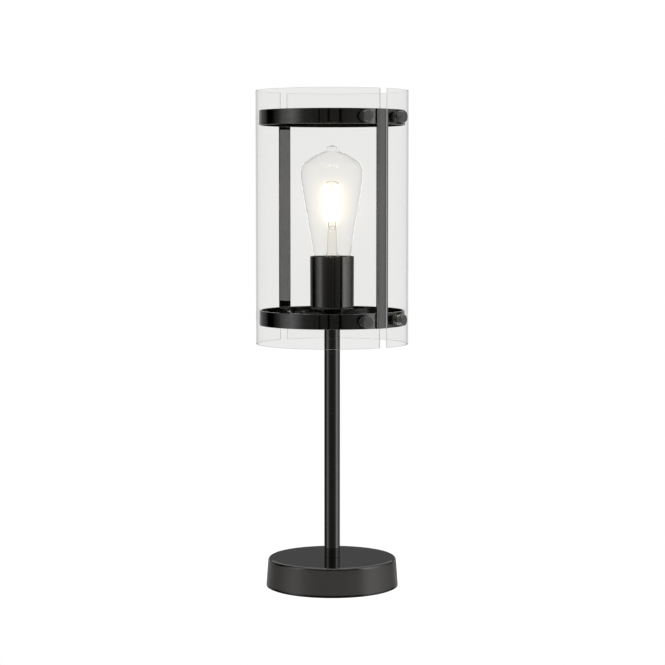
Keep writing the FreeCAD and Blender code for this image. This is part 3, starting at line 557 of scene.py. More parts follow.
def join(name: str, items: list[Item]) -> Item:
    """Join objects that share a body into one.

    Args:
        name: Name of the piece.
        items: The objects, which are used up.

    Returns:
        The joined piece.
    """
    shape = bmesh.new()
    for item in items:
        shape.from_mesh(item.data)
    data = bpy.data.meshes.new(name)
    shape.to_mesh(data)
    shape.free()
    remove(*items)
    return link(bpy.data.objects.new(name, data))


def deliver(item: Item, finish: Finish, node: str, body: str = STATIC) -> None:
    """Dress a finished piece and hand it to its body.

    Args:
        item: The piece.
        finish: Its finish.
        node: The node that it stands for.
        body: The body that it rides on.
    """
    finish.dress(item)
    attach(item, body)
    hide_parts(node)
    log.info("%s rides on %s: %d faces", item.name, body, len(item.data.polygons))


def section(
    inner: float, outer: float, low: float, high: float, outside: float = 0.0, inside: float = 0.0,
) -> list[Corner]:
    """Return a wall's section from its inner foot round to its inner top, with its edges' bends."""
    return [(inner, low, inside), (outer, low, outside), (outer, high, outside), (inner, high, inside)]


def rounded(corners: list[Corner], steps: int) -> list[Point]:
    """Round the corners of a closed outline that have a bend.

    Args:
        corners: Radius and height of each, and the radius that it is rounded to, if it is.
        steps: Number of segments on each rounded corner.

    Returns:
        The outline with arcs in place of those corners.
    """
    result, points = [], [Vector(corner[:2]) for corner in corners]
    for i, (corner, here) in enumerate(zip(corners, points)):
        bend = sum(corner[2:])
        if not bend:
            result.append(corner[:2])
            continue
        before = (points[i - 1] - here).normalized()
        after = (points[(i + 1) % len(points)] - here).normalized()
        half = before.angle(after) / 2
        centre = here + (before + after).normalized() * (bend / math.sin(half))
        first = here + before * (bend / math.tan(half)) - centre
        last = here + after * (bend / math.tan(half)) - centre
        sweep = first.angle_signed(last)
        for k in range(steps + 1):
            turn = -sweep * k / steps
            result.append(tuple(centre + Vector((
                first.x * math.cos(turn) - first.y * math.sin(turn),
                first.x * math.sin(turn) + first.y * math.cos(turn),
            ))))
    return result


@dataclass
class Recipe:
    """Geometry Nodes tree with named inputs, whose result is real geometry in one material."""

    name: ClassVar[str]
    inputs: ClassVar[dict[str, str]]
    nodes: Tree = field(init=False)
    given: bpy.types.bpy_prop_collection = field(init=False)

    def shape(self) -> Socket:
        """Add the nodes that make the geometry, and return its output."""
        raise NotImplementedError

    def raised(self, geometry: Socket) -> Socket:
        """Move geometry up by the input named Lift, and return its output."""
        rise = self.nodes.add("ShaderNodeCombineXYZ", {"Z": self.given["Lift"]}).outputs[0]
        return self.nodes.add("GeometryNodeTransform", {0: geometry, "Translation": rise}).outputs[0]

    def group(self) -> bpy.types.NodeTree:
        """Build the tree, or return it if it is there already.

        Returns:
            The tree, with the named inputs and Material.
        """
        known = bpy.data.node_groups.get(self.name)
        if known:
            return known
        group = bpy.data.node_groups.new(self.name, "GeometryNodeTree")
        for label, kind in {"Geometry": "Geometry", **self.inputs, "Material": "Material"}.items():
            group.interface.new_socket(label, in_out="INPUT", socket_type="NodeSocket" + kind)
        group.interface.new_socket("Geometry", in_out="OUTPUT", socket_type="NodeSocketGeometry")
        self.nodes = Tree(group)
        self.given = self.nodes.add("NodeGroupInput").outputs
        real = self.nodes.add("GeometryNodeRealizeInstances", {"Geometry": self.shape()})
        dress = {"Geometry": real.outputs[0], "Material": self.given["Material"]}
        dressed = self.nodes.add("GeometryNodeSetMaterial", dress)
        self.nodes.add("NodeGroupOutput", {0: dressed.outputs[0]})
        return group

    def make(
        self, name: str, finish: Finish, values: dict[str, object], start: bpy.types.ID | None = None,
    ) -> Item:
        """Run the tree and keep its result as a plain mesh.

        Args:
            name: Name of the piece.
            finish: Its finish.
            values: Input name to value.
            start: The curve that the tree starts from, if it needs one.

        Returns:
            The plain mesh object.
        """
        group = self.group()
        item = link(bpy.data.objects.new(name + "_start", start or bpy.data.meshes.new("empty")))
        modifier = item.modifiers.new("grow", "NODES")
        modifier.node_group = group
        sockets = {s.name: s.identifier for s in group.interface.items_tree if s.in_out == "INPUT"}
        for label, value in {**values, "Material": finish.build()}.items():
            modifier[sockets[label]] = value
        data = evaluated(item)
        remove(item)
        return tidy(link(bpy.data.objects.new(name, data)))


@dataclass
class Copies(Recipe):
    """Copies of a piece round the stem's axis, at even turns."""

    name: ClassVar[str] = "copies_round_the_stem"
    inputs: ClassVar[dict[str, str]] = {
        "Piece": "Object", "Count": "Int", "First angle": "Float", "Step": "Float", "Lift": "Float",
    }

    def shape(self) -> Socket:
        """Set the piece at each turn, and lift the whole set.

        Returns:
            The geometry's output.
        """
        points = self.nodes.add("GeometryNodePoints", {"Count": self.given["Count"]}).outputs[0]
        index = self.nodes.add("GeometryNodeInputIndex").outputs[0]
        turn = self.nodes.maths("MULTIPLY_ADD", index, self.given["Step"], self.given["First angle"])
        spin = self.nodes.add("FunctionNodeAxisAngleToRotation", {"Axis": (0, 0, 1), "Angle": turn})
        source = self.nodes.add("GeometryNodeObjectInfo", {"Object": self.given["Piece"]})
        placed = self.nodes.add("GeometryNodeInstanceOnPoints", {
            "Points": points, "Instance": source.outputs["Geometry"], "Rotation": spin.outputs[0],
        })
        return self.raised(placed.outputs[0])


@dataclass
class Sweep(Recipe):
    """Round wire along a curve, with closed ends."""

    name: ClassVar[str] = "round_wire_along_a_path"
    inputs: ClassVar[dict[str, str]] = {"Radius": "Float", "Sides": "Int"}

    def shape(self) -> Socket:
        """Sweep a round section along the curve, and return the wire's output."""
        size = {"Resolution": self.given["Sides"], "Radius": self.given["Radius"]}
        return self.wound(self.given["Geometry"], size)

    def wound(self, path: Socket, size: dict[str, object]) -> Socket:
        """Sweep a ring of corners along a path, and close its ends.

        Args:
            path: The output with the path.
            size: The ring's Resolution and Radius.

        Returns:
            The geometry's output.
        """
        ring = self.nodes.add("GeometryNodeCurvePrimitiveCircle", size)
        return self.nodes.add("GeometryNodeCurveToMesh", {
            "Curve": path, "Profile Curve": ring.outputs[0], "Fill Caps": True,
        }).outputs[0]


@dataclass
class Thread(Sweep):
    """Screw thread that winds up +Z round a shank."""

    name: ClassVar[str] = "thread_round_a_shank"
    inputs: ClassVar[dict[str, str]] = {
        "Radius": "Float", "Depth": "Float", "Pitch": "Float", "Turns": "Float", "Lift": "Float",
    }
    steps: ClassVar[int] = 32
    corners: ClassVar[int] = 4

    def shape(self) -> Socket:
        """Sweep a four-cornered ridge along a helix, and lift it to its place.

        Returns:
            The geometry's output.
        """
        rise = self.nodes.maths("MULTIPLY", self.given["Pitch"], self.given["Turns"])
        helix = self.nodes.add("GeometryNodeCurveSpiral", {
            "Resolution": self.steps, "Rotations": self.given["Turns"], "Height": rise,
            "Start Radius": self.given["Radius"], "End Radius": self.given["Radius"],
        })
        level = self.nodes.add("GeometryNodeSetCurveNormal", {"Curve": helix.outputs[0]}, mode="Z_UP")
        ridge = {"Resolution": self.corners, "Radius": self.given["Depth"]}
        return self.raised(self.wound(level.outputs[0], ridge))


@dataclass
class Base:
    """Pressed cover of the weighted base."""

    foot_r: float = 67.05
    draft: float = 2.05
    rim_z: float = 0.8
    top_z: float = 29.6
    wall: float = 1.5
    edge_r: float = 2.5
    rim_r: float = 0.35
    inlet_z: float = 12.0
    inlet_r: float = 5.05

    def side_r(self, z: float, depth: float = 0.0) -> float:
        """Return the slanting side's radius at a height, some way in from its outer face."""
        slope = self.draft / (self.top_z - self.rim_z)
        return self.foot_r - slope * (z - self.rim_z) - depth * math.hypot(1, slope)

    def build(self) -> None:
        """Make the cover with its rounded shoulder, rolled rim and cord hole."""
        roof = self.top_z - self.wall
        outline = rounded([
            (NIPPLE_HOLE_R, self.top_z), (self.side_r(self.top_z), self.top_z, self.edge_r),
            (self.side_r(self.rim_z), self.rim_z, self.rim_r),
            (self.side_r(self.rim_z, self.wall), self.rim_z, self.rim_r),
            (self.side_r(roof, self.wall), roof, self.edge_r - self.wall), (NIPPLE_HOLE_R, roof),
        ], steps=10)
        cover = lathe("base_cover_skin", outline, steps=256)
        drill(cover, [(self.inlet_r, 180.0, self.inlet_z)], self.foot_r / 2, self.foot_r + DRILL_CLEAR)
        deliver(cover, BASE_BLACK, "base_cover")


@dataclass
class Stem:
    """Plain tube from the base to the crossbar, and the spacer above it."""

    radius: float = 8.0
    wall: float = 1.0
    low: float = 29.6
    high: float = 266.8
    edge: float = 0.3
    spacer_r: float = 9.0
    spacer_low: float = 268.8
    spacer_high: float = 283.2
    spacer_edge: float = 0.4

    def build(self) -> None:
        """Make the tube and the spacer, both with softened ends."""
        tube = section(self.radius - self.wall, self.radius, self.low, self.high, self.edge)
        spacer = section(
            NIPPLE_HOLE_R, self.spacer_r, self.spacer_low, self.spacer_high, self.spacer_edge,
        )
        for node, corners in (("stem_tube", tube), ("cup_spacer", spacer)):
            item = lathe(node + "_skin", rounded(corners, steps=4), steps=96)
            deliver(item, GLOSS_BLACK, node)


@dataclass
class ShadeFrame:
    """Band rings with their holes, and the domed nuts on the bars' studs."""

    radius: float = 73.4
    wall: float = 2.0
    height: float = 15.0
    edge: float = 0.4
    stud_hole_r: float = 2.05
    tapped_r: float = 2.55
    nut_r: float = 4.3
    nut_collar: float = 2.2
    nut_height: float = 5.2
    nut_depth: float = 3.25
    nut_edge: float = 0.25
    nut_steps: int = 12
    crossbar: float = 2.05

    def ring(self, level: Level) -> None:
        """Make one band ring with its stud holes and tapped holes.

        Args:
            level: Which ring.
        """
        half, inner = self.height / 2, self.radius - self.wall
        low, high = level.value - half, level.value + half
        corners = section(inner, self.radius, low, high, self.edge, self.edge)
        name = f"{level.name.lower()}_ring"
        band = lathe(name + "_band", rounded(corners, steps=4), steps=288)
        holes = []
        for bar in Bar:
            holes.append((self.stud_hole_r, bar.value, level.value))
            holes += [(self.tapped_r, screw_angle(bar, side), level.value) for side in Side]
        drill(band, holes, inner - DRILL_CLEAR, self.radius + DRILL_CLEAR)
        deliver(band, GLOSS_BLACK, name)

    def nut(self, seat: float) -> Item:
        """Turn one domed nut, facing the stem from the front.

        Args:
            seat: Distance of its flat face from the stem's axis.

        Returns:
            The nut, at height 0.
        """
        crown = self.nut_height - self.nut_collar
        dome = (self.nut_r ** 2 + crown ** 2) / (2 * crown)
        reach = math.asin(self.nut_r / dome)
        turns = [reach * k / self.nut_steps for k in range(self.nut_steps, -1, -1)]
        arc = [(dome * math.sin(turn), self.nut_height - dome + dome * math.cos(turn)) for turn in turns]
        item = lathe("nut_master", [
            (0, self.nut_depth), (self.stud_hole_r, self.nut_depth), (self.stud_hole_r, 0),
            (self.nut_r - self.nut_edge, 0), (self.nut_r, self.nut_edge), *arc,
        ], steps=64)
        item.data.transform(Matrix.Translation((0, -seat * MM, 0)) @ facing(180.0))
        return item

    def build(self) -> None:
        """Make the rings, and the nuts that face the stem inside them."""
        pairs = []
        for level in Level:
            self.ring(level)
            wall_r = self.radius - self.wall - (self.crossbar if level is Level.LOWER else 0.0)
            master = self.nut(math.sqrt(wall_r ** 2 - self.nut_r ** 2))
            pairs.append(Copies().make(f"{level.name.lower()}_nuts", GLOSS_BLACK, {
                "Piece": master, "Count": len(Bar), "First angle": math.radians(Bar.FRONT.value),
                "Step": math.pi, "Lift": level.value * MM,
            }))
            remove(master)
        deliver(join("cap_nuts_domed", pairs), GLOSS_BLACK, "cap_nuts")


@dataclass
class GlassShade:
    """Two half-round panels of clear glass with arrised edges, ground ends and drilled holes; the ground
    left ends carry a painted glow.
    """

    inner_r: float = 74.95
    thickness: float = 1.8
    low: float = 247.4
    high: float = 501.7
    gap: float = 9.0
    arris: float = 0.35
    hole_r: float = 4.0
    steps: int = 120
    # Levels of the ground mark, which also sets the painted glow; only the left ends' level lies above
    # where the glow starts.
    ground_and_glow_left: float = 1.0
    ground_and_glow_right: float = 0.4
    ground_and_glow_rim: float = 0.7
    rim_tilt: float = 0.3

    def station(self, outline: list[Point], first: float, share: float, back: float) -> list[Vector]:
        """Set the section at a share of the way from the first bar, its ends back from the sawn faces."""
        reach = {r: math.degrees(math.asin((self.gap / 2 + back) / r)) for r, _ in outline}
        return [spot(first + reach[r] + (180.0 - 2 * reach[r]) * share, r, z) for r, z in outline]

    def panel(self, name: str, first: float) -> Item:
        """Make one panel.

        Args:
            name: Name of the piece.
            first: Compass angle of the bar at its left edge.

        Returns:
            The drilled panel.
        """
        near, far = self.inner_r, self.inner_r + self.thickness
        outline = rounded(section(near, far, self.low, self.high, self.arris, self.arris), steps=3)
        end = [
            (min(max(r, near + self.arris), far - self.arris),
             min(max(z, self.low + self.arris), self.high - self.arris))
            for r, z in outline
        ]
        rows = [self.station(outline, first, k / self.steps, self.arris) for k in range(self.steps + 1)]
        rows = [self.station(end, first, 0.0, 0.0), *rows, self.station(end, first, 1.0, 0.0)]
        verts, n = sum(rows, []), len(outline)
        ends = [tuple(range(n)), tuple(range(len(verts) - n, len(verts)))]
        item = mesh(name, verts, bands(len(rows), n) + ends)
        angles = [screw_angle(bar, side) for bar in Bar for side in Side]
        drill(item, [
            (self.hole_r, angle, level.value)
            for angle in angles if 0 < (angle - first) % 360 < 180 for level in Level
        ], near - DRILL_CLEAR, far + DRILL_CLEAR)
        self.mark(item, first)
        return item

    def mark(self, item: Item, first: float) -> None:
        """Mark how dull each face is ground and how much painted glow it has: most at the sawn left end,
        which alone glows, less at the rims and right end.

        Args:
            item: The panel.
            first: Compass angle of the bar at its left edge.
        """
        ground = item.data.attributes.new("ground", "FLOAT", "FACE").data
        for face in item.data.polygons:
            if face.center.dot(outward(first + 90.0)) < (self.gap + self.arris) / 2 * MM:
                left = face.center.dot(outward(first)) > 0
                ground[face.index].value = self.ground_and_glow_left if left else self.ground_and_glow_right
            elif abs(face.normal.z) > self.rim_tilt:
                ground[face.index].value = self.ground_and_glow_rim

    def build(self) -> None:
        """Make both panels."""
        for node, bar in (("rear_right_glass", Bar.FRONT), ("front_left_glass", Bar.REAR)):
            deliver(self.panel(node + "_panel", bar.value), SHADE_GLASS, node)


@dataclass
class Thumbscrews:
    """Plain round-headed thumbscrews with cut threads, and their washers."""

    seat_r: float = 77.55
    head_r: float = 5.4
    head_l: float = 7.0
    edge: float = 0.6
    seat_edge: float = 0.25
    shank_r: float = 2.5
    end_r: float = 68.4
    bevel: float = 0.3
    pitch: float = 0.8
    thread_depth: float = 0.42
    undercut: float = 1.2
    washer_r: float = 4.9
    washer_bore: float = 2.6
    washer_t: float = 0.7
    washer_edge: float = 0.15

    def screw(self) -> Item:
        """Turn the pattern of the thumbscrews: a rounded head and a threaded shank, facing the front.

        Returns:
            The thumbscrew at height 0.
        """
        face = self.seat_r + self.head_l
        head = lathe("screw_head", rounded([
            (0, self.seat_r), (self.head_r, self.seat_r, self.seat_edge),
            (self.head_r, face, self.edge), (0, face),
        ], steps=5), steps=72)
        core, top = self.shank_r - self.thread_depth, self.seat_r + self.bevel
        shank = lathe("screw_shank", [
            (0, self.end_r), (core - self.bevel, self.end_r), (core, self.end_r + self.bevel),
            (core, top), (0, top),
        ], steps=40)
        start = self.end_r + self.thread_depth
        thread = Thread().make("screw_thread", THUMB_BLACK, {
            "Radius": core * MM, "Depth": self.thread_depth * MM, "Pitch": self.pitch * MM,
            "Turns": (self.seat_r - start - self.undercut) / self.pitch, "Lift": start * MM,
        })
        item = join("screw_pattern", [head, shank, thread])
        item.data.transform(facing(0.0))
        return item

    def washer(self) -> Item:
        """Stamp the pattern of the washers, facing the front.

        Returns:
            The washer at height 0.
        """
        low = self.seat_r - self.washer_t
        disc = section(self.washer_bore, self.washer_r, low, self.seat_r, self.washer_edge)
        item = lathe("washer_pattern", rounded(disc, steps=3), steps=64)
        item.data.transform(facing(0.0))
        return item

    def build(self) -> None:
        """Set the eight screws and washers round the rings, each on its own body."""
        patterns = {"thumbscrew": (self.screw(), THUMB_BLACK), "washer": (self.washer(), BLACK_PLASTIC)}
        for level, bar, side in product(Level, Bar, Side):
            hand = side if bar is Bar.FRONT else Side(-side.value)
            for kind, (pattern, finish) in patterns.items():
                node = f"{level.name}_{bar.name}_{hand.name}_{kind}".lower()
                item = Copies().make(node + "_turned", finish, {
                    "Piece": pattern, "Count": 1, "First angle": math.radians(screw_angle(bar, side)),
                    "Step": 0.0, "Lift": level.value * MM,
                })
                deliver(item, finish, node, node)
        remove(*(pattern for pattern, _ in patterns.values()))


@dataclass
class Lampholder:
    """Metal cup round the lampholder."""

    bottom_r: float = 22.05
    flare: float = 0.2
    wall: float = 1.0
    low: float = 283.2
    high: float = 335.8
    edge: float = 1.6
    lip: float = 0.4

    def build(self) -> None:
        """Make the cup with its rounded foot and rolled lip."""
        floor = self.low + self.wall
        top_r = self.bottom_r + self.flare
        cup = lathe("holder_cup_skin", rounded([
            (NIPPLE_HOLE_R, self.low), (self.bottom_r, self.low, self.edge), (top_r, self.high, self.lip),
            (top_r - self.wall, self.high, self.lip),
            (self.bottom_r - self.wall, floor, self.edge - self.wall), (NIPPLE_HOLE_R, floor),
        ], steps=8), steps=192)
        deliver(cup, GLOSS_BLACK, "holder_cup")


@dataclass
class Bulb:
    """Clear pear-shaped filament bulb, with heights over the tip of its cap.

    An outline lists the radius and height of its corners, and the radius that they are rounded to. The
    press, the bore and the leads' root and bend have heights over the mount's pressed top instead, the
    knee over the filaments' feet, and the star over their heads, with shares of the heads' radius.
    """

    tip_z: float = 303.0
    wall: float = 0.6
    cap_r: float = 13.0
    cap_wall: float = 0.4
    cap_foot: Point = (10.0, 5.0)
    cap_top: float = 27.0
    cap_neck: float = 1.0
    thread_from: float = 7.2
    thread_to: float = 23.5
    thread_pitch: float = 3.629
    thread_depth: float = 0.9
    thread_fade: float = 2.0
    thread_sides: int = 96
    thread_rows: int = 66
    filament_r: float = 0.9
    filament_foot: Point = (4.5, 67.7)
    filament_head: Point = (8.5, 105.1)
    filament_bare: float = 0.9
    filament_edge: float = 0.4
    filaments: int = 4
    rod_r: float = 1.2
    rod_h: float = 108.7
    rod_root: float = 4.0
    rod_edge: float = 0.5
    rod_dome: float = 0.6
    lead_r: float = 0.4
    lead_sides: int = 12
    lead_knee: Point = (3.8, -1.6)
    lead_lap: float = 1.0
    star: tuple[Point, ...] = ((0.0, 2.6), (0.6, 2.3), (1.0, 1.2), (1.0, -1.2))
    press_h: float = 61.4
    outline: tuple[Corner, ...] = (
        (12.2, 18.2), (12.2, 28.4, 1.5), (18.3, 31.5, 2.5), (31.6, 111.9, 60.0), (30.7, 125.3, 11.0),
        (15.5, 135.0, 40.0), (6.4, 138.2, 1.2), (5.6, 142.8, 3.0), (0.0, 144.4),
    )
    flare: tuple[Corner, ...] = ((10.3, 19.7), (11.2, 19.7), (11.2, 20.6), (5.6, 35.2, 6.0))
    press: tuple[Corner, ...] = ((4.6, -1.4), (5.0, -1.0), (5.0, 0.0), (4.2, 0.4, 0.5), (1.9, 1.4))
    bore: tuple[Corner, ...] = ((0.0, -1.8), (3.8, -1.8, 1.4))
    waist: Corner = (4.7, 35.2, 6.0)
    lead_root: Point = (2.4, -1.2)
    lead_bend: Point = (3.4, 2.0)

    def raised(self, corners: tuple[Corner, ...], lift: float) -> list[Corner]:
        """Return corners moved up, with their bends."""
        return [(r, h + lift, *bend) for r, h, *bend in corners]

    def envelope(self) -> None:
        """Blow the glass envelope, with a wall of even thickness."""
        outside = rounded(self.raised(self.outline, self.tip_z), steps=14)
        inside = []
        for i, (r, z) in enumerate(outside):
            before, after = outside[max(i - 1, 0)], outside[min(i + 1, len(outside) - 1)]
            along = (Vector(after) - Vector(before)).normalized()
            inside.append((max(r - along.y * self.wall, 0.0), z + along.x * self.wall))
        inside[-1] = (0.0, outside[-1][1] - self.wall)
        glass = lathe("bulb_envelope", outside + inside[::-1], steps=160)
        deliver(glass, BULB_GLASS, "bulb_glass", BULB)

    def dip(self, h: float, share: float) -> float:
        """Tell how deep the cap's thread is at a height and a share of a turn.

        Args:
            h: Height over the cap's tip.
            share: How far round, from 0 to 1.

        Returns:
            The depth under the cap's crests.
        """
        phase = (h - self.thread_from) / self.thread_pitch + share
        fade = min(1.0, (h - self.thread_from) / self.thread_fade, (self.thread_to - h) / self.thread_fade)
        return (0.5 + 0.5 * math.cos(2 * math.pi * phase)) * self.thread_depth * max(fade, 0.0)

    def cap(self) -> None:
        """Roll the screw cap, whose wall follows the helix of its thread."""
        sides, rows = self.thread_sides, self.thread_rows
        (foot_r, foot_h), neck = self.cap_foot, self.thread_to + self.cap_neck
        rise = (self.thread_to - self.thread_from) / rows
        heights = [self.thread_from + rise * k for k in range(rows + 1)]
        stations = [[spot(0.0, 0.0, self.tip_z + foot_h)] * sides]
        for skin, order in ((0.0, 1), (self.cap_wall, -1)):
            plain = self.cap_r - skin
            wall = [[(foot_r - skin, foot_h + skin)] * sides]
            wall += [[(plain - self.dip(h, i / sides), h) for i in range(sides)] for h in heights]
            wall += [[(plain, neck)] * sides, [(plain, self.cap_top)] * sides]
            for ring in wall[::order]:
                stations.append([
                    spot(360.0 * i / sides, r, self.tip_z + h) for i, (r, h) in enumerate(ring)
                ])
        stations.append([spot(0.0, 0.0, self.tip_z + foot_h + self.cap_wall)] * sides)
        item = mesh("bulb_screw_cap", sum(stations, []), bands(len(stations), sides))
        deliver(item, NICKEL, "bulb_cap", BULB)

    def mount(self) -> None:
        """Draw the glass mount: a flared foot, a pressed top with a collar, and the thin rod."""
        press, bore = (self.raised(part, self.press_h) for part in (self.press, self.bore))
        rod = [
            (self.rod_r, self.press_h + self.rod_root), (self.rod_r, self.rod_h, self.rod_edge),
            (0.0, self.rod_h + self.rod_dome),
        ]
        corners = self.raised((*self.flare, *press, *rod, *bore, self.waist), self.tip_z)
        item = lathe("bulb_glass_mount", rounded(corners, steps=6), steps=64)
        deliver(item, MOUNT_GLASS, "bulb_mount", BULB)

    def stick(self) -> Item:
        """Make one filament at the front: a coated stick that leans outwards.

        Returns:
            The stick.
        """
        (foot_r, foot_h), (head_r, head_h) = self.filament_foot, self.filament_head
        length = math.hypot(head_r - foot_r, head_h - foot_h)
        bare, edge = self.filament_bare, self.filament_edge
        coat = section(0, self.filament_r, bare, length - bare, edge)
        item = lathe("stick_master", rounded(coat, steps=4), steps=24)
        lean = Matrix.Rotation(math.atan2(head_r - foot_r, head_h - foot_h), 4, "X")
        item.data.transform(Matrix.Translation(spot(0.0, foot_r, self.tip_z + foot_h) * MM) @ lean)
        return item

    def paths(self) -> list[list[Vector]]:
        """Lay out the support wires and the star that holds the filaments' heads.

        Returns:
            The corners of each wire.
        """
        (foot_r, foot_h), (head_r, head_h) = self.filament_foot, self.filament_head
        foot, head, press = self.tip_z + foot_h, self.tip_z + head_h, self.tip_z + self.press_h
        lead = self.raised((self.lead_root, self.lead_bend), press) + self.raised((self.lead_knee,), foot)
        paths = []
        for side in (-1, 1):
            root, bend, knee = (Vector((side * r, 0, z)) for r, z in lead)
            paths.append([root, bend, knee])
            for turn in (-45, 45):
                paths.append([knee, spot(side * (90 + turn), foot_r, foot + self.lead_lap)])
        for k in range(self.filaments):
            angle = 360.0 / self.filaments * (k + 0.5)
            paths.append([
                spot(angle, max(head_r * share, self.rod_r), head + h) for share, h in self.star
            ])
        return paths

    def wire(self, number: int, path: list[Vector]) -> Item:
        """Bend one wire.

        Args:
            number: Its number.
            path: Its corners in millimetres.

        Returns:
            The wire.
        """
        curve = bpy.data.curves.new(f"wire_{number}", "CURVE")
        curve.dimensions = "3D"
        spline = curve.splines.new("POLY")
        spline.points.add(len(path) - 1)
        for point, place in zip(spline.points, path):
            point.co = (*(place * MM), 1.0)
        size = {"Radius": self.lead_r * MM, "Sides": self.lead_sides}
        return Sweep().make(f"wire_{number}", STEEL, size, curve)

    def build(self) -> None:
        """Make the bulb's pieces."""
        self.envelope()
        self.cap()
        self.mount()
        master = self.stick()
        step = 2 * math.pi / self.filaments
        sticks = Copies().make("bulb_filament_sticks", FILAMENT, {
            "Piece": master, "Count": self.filaments, "First angle": step / 2, "Step": step, "Lift": 0.0,
        })
        remove(master)
        deliver(sticks, FILAMENT, "bulb_filaments", BULB)
        wires = [self.wire(number, path) for number, path in enumerate(self.paths())]
        deliver(join("bulb_support_wires", wires), STEEL, "bulb_leads", BULB)


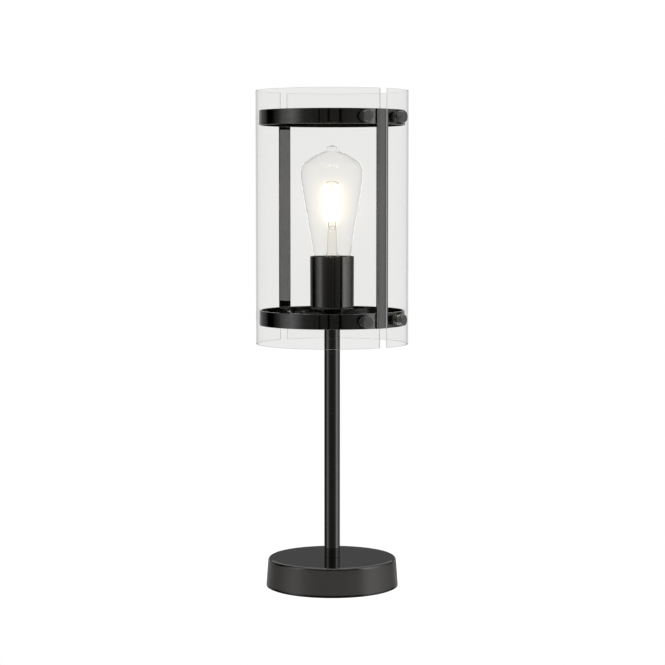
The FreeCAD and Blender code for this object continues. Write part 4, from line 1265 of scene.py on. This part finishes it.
@dataclass
class Studio:
    """Pale floor, soft studio light and the camera.

    The lamp stands between a broad soft box on the right, a narrower one on the left, a dark camera
    side and a pale backdrop, under an overhead panel. The glow of the walls is given round the lamp,
    and the gaps are narrow dark joints between the panels of the camera side, with their half widths.
    The pairs from back to panel are the angles over which the dimmer backdrop, between two heights, the
    dimmer surroundings above and under the walls, and the overhead panel ease in.
    """

    glow: tuple[Point, ...] = (
        (-180, 0.76), (-155, 0.48), (-144, 0.22), (-130, 0.115), (-121, 0.0), (-107, 0.0), (-93, 0.081),
        (-86, 0.199), (-72, 0.328), (-66, 0.388), (-60, 0.298), (-48, 0.105), (-42, 0.068), (-26, 0.045),
        (-15, 0.044), (17, 0.044), (37, 0.067), (42, 0.068), (46, 0.024), (51, 0.09), (58, 0.36),
        (66, 0.615), (80, 0.50), (94, 0.38), (101, 0.29), (120, 0.165), (129, 0.041), (133, 0.046),
        (142, 0.22), (155, 0.48), (180, 0.76),
    )
    gaps: tuple[Point, ...] = ((-20.0, 0.8), (-5.3, 1.5), (12.7, 2.0))
    gap_tone: float = 0.15
    gap_edge: float = 0.7
    back: Point = (105.0, 135.0)
    back_low: Point = (6.0, 10.0)
    back_high: Point = (22.0, 16.0)
    above: Point = (48.0, 60.0)
    under: Point = (-14.0, -30.0)
    panel: Point = (60.0, 72.0)
    overhead: float = 0.36
    dim: float = 0.139
    through_glass: float = 0.845
    halo_strength: float = 1.3
    halo_size: float = 0.6
    halo_from: float = 1.5
    floor_r: float = 200.0
    floor_t: float = 2.0
    camera_side: float = 0.4
    camera_height: float = 407.92
    camera_distance: float = 2050.0
    pitch: float = 4.166
    focal_px: float = 2033.2
    image_px: float = 665.0
    sensor: float = 36.0

    def walls(self, tree: Tree, compass: Socket) -> Socket:
        """Light the walls round the lamp, with the dark joints between their panels.

        Args:
            tree: The world's tree.
            compass: Output with the compass angle.

        Returns:
            The walls' strength.
        """
        table = tree.add("ShaderNodeValToRGB", {0: tree.ramp(compass, (-180, 180))})
        stops = table.color_ramp.elements
        stops.remove(stops[1])
        for number, (angle, strength) in enumerate(self.glow):
            stop = stops.new((angle + 180) / 360) if number else stops[0]
            stop.color = (strength, strength, strength, 1.0)
        walls = table.outputs[0]
        for angle, half in self.gaps:
            away = tree.maths("ABSOLUTE", tree.maths("SUBTRACT", compass, angle))
            lit = tree.ramp(away, (half, half + self.gap_edge), (self.gap_tone, 1))
            walls = tree.maths("MULTIPLY", walls, lit)
        return walls

    def light(self, tree: Tree) -> Socket:
        """Light the surroundings: the walls, dimmer zones behind, above and under, and the panel.

        Args:
            tree: The world's tree.

        Returns:
            The strength of the light.
        """
        way = tree.add("ShaderNodeTexCoord").outputs["Generated"]
        axis = tree.add("ShaderNodeSeparateXYZ", {0: way}).outputs
        toward = tree.maths("MULTIPLY", axis["Y"], -1.0)
        compass = tree.maths("DEGREES", tree.maths("ARCTAN2", axis["X"], toward))
        height = tree.maths("DEGREES", tree.maths("ARCSINE", axis["Z"]))
        behind = tree.ramp(tree.maths("ABSOLUTE", compass), self.back, kind=EASED)
        low, high, above, under, panel = (
            tree.ramp(height, span, kind=EASED)
            for span in (self.back_low, self.back_high, self.above, self.under, self.panel)
        )
        shade = tree.maths("MULTIPLY", behind, tree.maths("MULTIPLY", low, high))
        shade = tree.maths("MAXIMUM", tree.maths("MAXIMUM", shade, above), under)
        mixed = {"Factor": shade, "A": self.walls(tree, compass), "B": self.dim}
        level = tree.add("ShaderNodeMix", mixed).outputs["Result"]
        return tree.maths("ADD", level, tree.maths("MULTIPLY", panel, self.overhead))

    def world(self) -> None:
        """Build the surroundings: a white backdrop to look at, and soft walls that light the lamp."""
        world = bpy.data.worlds.new("studio")
        world.use_nodes = True
        world.node_tree.nodes.clear()
        tree = Tree(world.node_tree)
        path = tree.add("ShaderNodeLightPath").outputs
        veil = tree.ramp(path["Transmission Depth"], (0, 1), (1, self.through_glass))
        studio, seen = (
            tree.add("ShaderNodeBackground", {"Color": (*WHITE, 1.0), "Strength": strength}).outputs[0]
            for strength in (self.light(tree), veil)
        )
        bounces = tree.maths("ADD", path["Glossy Depth"], path["Diffuse Depth"])
        direct = tree.maths("LESS_THAN", bounces, 0.5)
        mix = tree.add("ShaderNodeMixShader", {0: direct, 1: studio, 2: seen})
        tree.add("ShaderNodeOutputWorld", {"Surface": mix.outputs[0]})
        bpy.context.scene.world = world

    def floor(self) -> None:
        """Lay the pale floor, a round of white board."""
        item = lathe("studio_floor", section(0, self.floor_r, -self.floor_t, 0), steps=128)
        BOARD.dress(item)
        item.visible_glossy = False

    def camera(self) -> None:
        """Set the camera in front of the lamp, a little above the bulb's socket, tilted down."""
        data = bpy.data.cameras.new("camera")
        data.sensor_width = self.sensor
        data.lens = self.focal_px * self.sensor / self.image_px
        data.clip_end = 50.0
        item = link(bpy.data.objects.new("camera", data))
        item.location = Vector((self.camera_side, -self.camera_distance, self.camera_height)) * MM
        item.rotation_euler = (math.radians(90.0 - self.pitch), 0.0, 0.0)
        bpy.context.scene.camera = item

    def halo(self) -> None:
        """Give the lit filaments a soft halo, as a lens does."""
        scene = bpy.context.scene
        scene.use_nodes = True
        scene.node_tree.nodes.clear()
        tree = Tree(scene.node_tree)
        glow = {
            "Image": tree.add("CompositorNodeRLayers").outputs["Image"], "Threshold": self.halo_from,
            "Strength": self.halo_strength, "Size": self.halo_size,
        }
        glare = tree.add("CompositorNodeGlare", glow, glare_type="FOG_GLOW", quality="HIGH")
        tree.add("CompositorNodeComposite", {"Image": glare.outputs["Image"]})

    def build(self) -> None:
        """Make the studio and set the plain view transform."""
        self.camera()
        self.halo()
        self.world()
        self.floor()
        bpy.context.scene.view_settings.view_transform = "Standard"
        bpy.context.scene.view_settings.look = "None"


def dress_carried_nodes() -> None:
    """Give the nodes that stay as they are their finishes."""
    for finish, nodes in CARRIED_NODES.items():
        for name in nodes:
            finish.dress(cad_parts[name])


def main() -> None:
    """Build the lamp's looks in order."""
    logging.basicConfig(level=logging.INFO, format="%(message)s")
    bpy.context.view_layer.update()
    for assembly in (Studio, Base, Stem, ShadeFrame, GlassShade, Thumbscrews, Lampholder, Bulb):
        assembly().build()
    dress_carried_nodes()


if __name__ == "__main__":
    main()
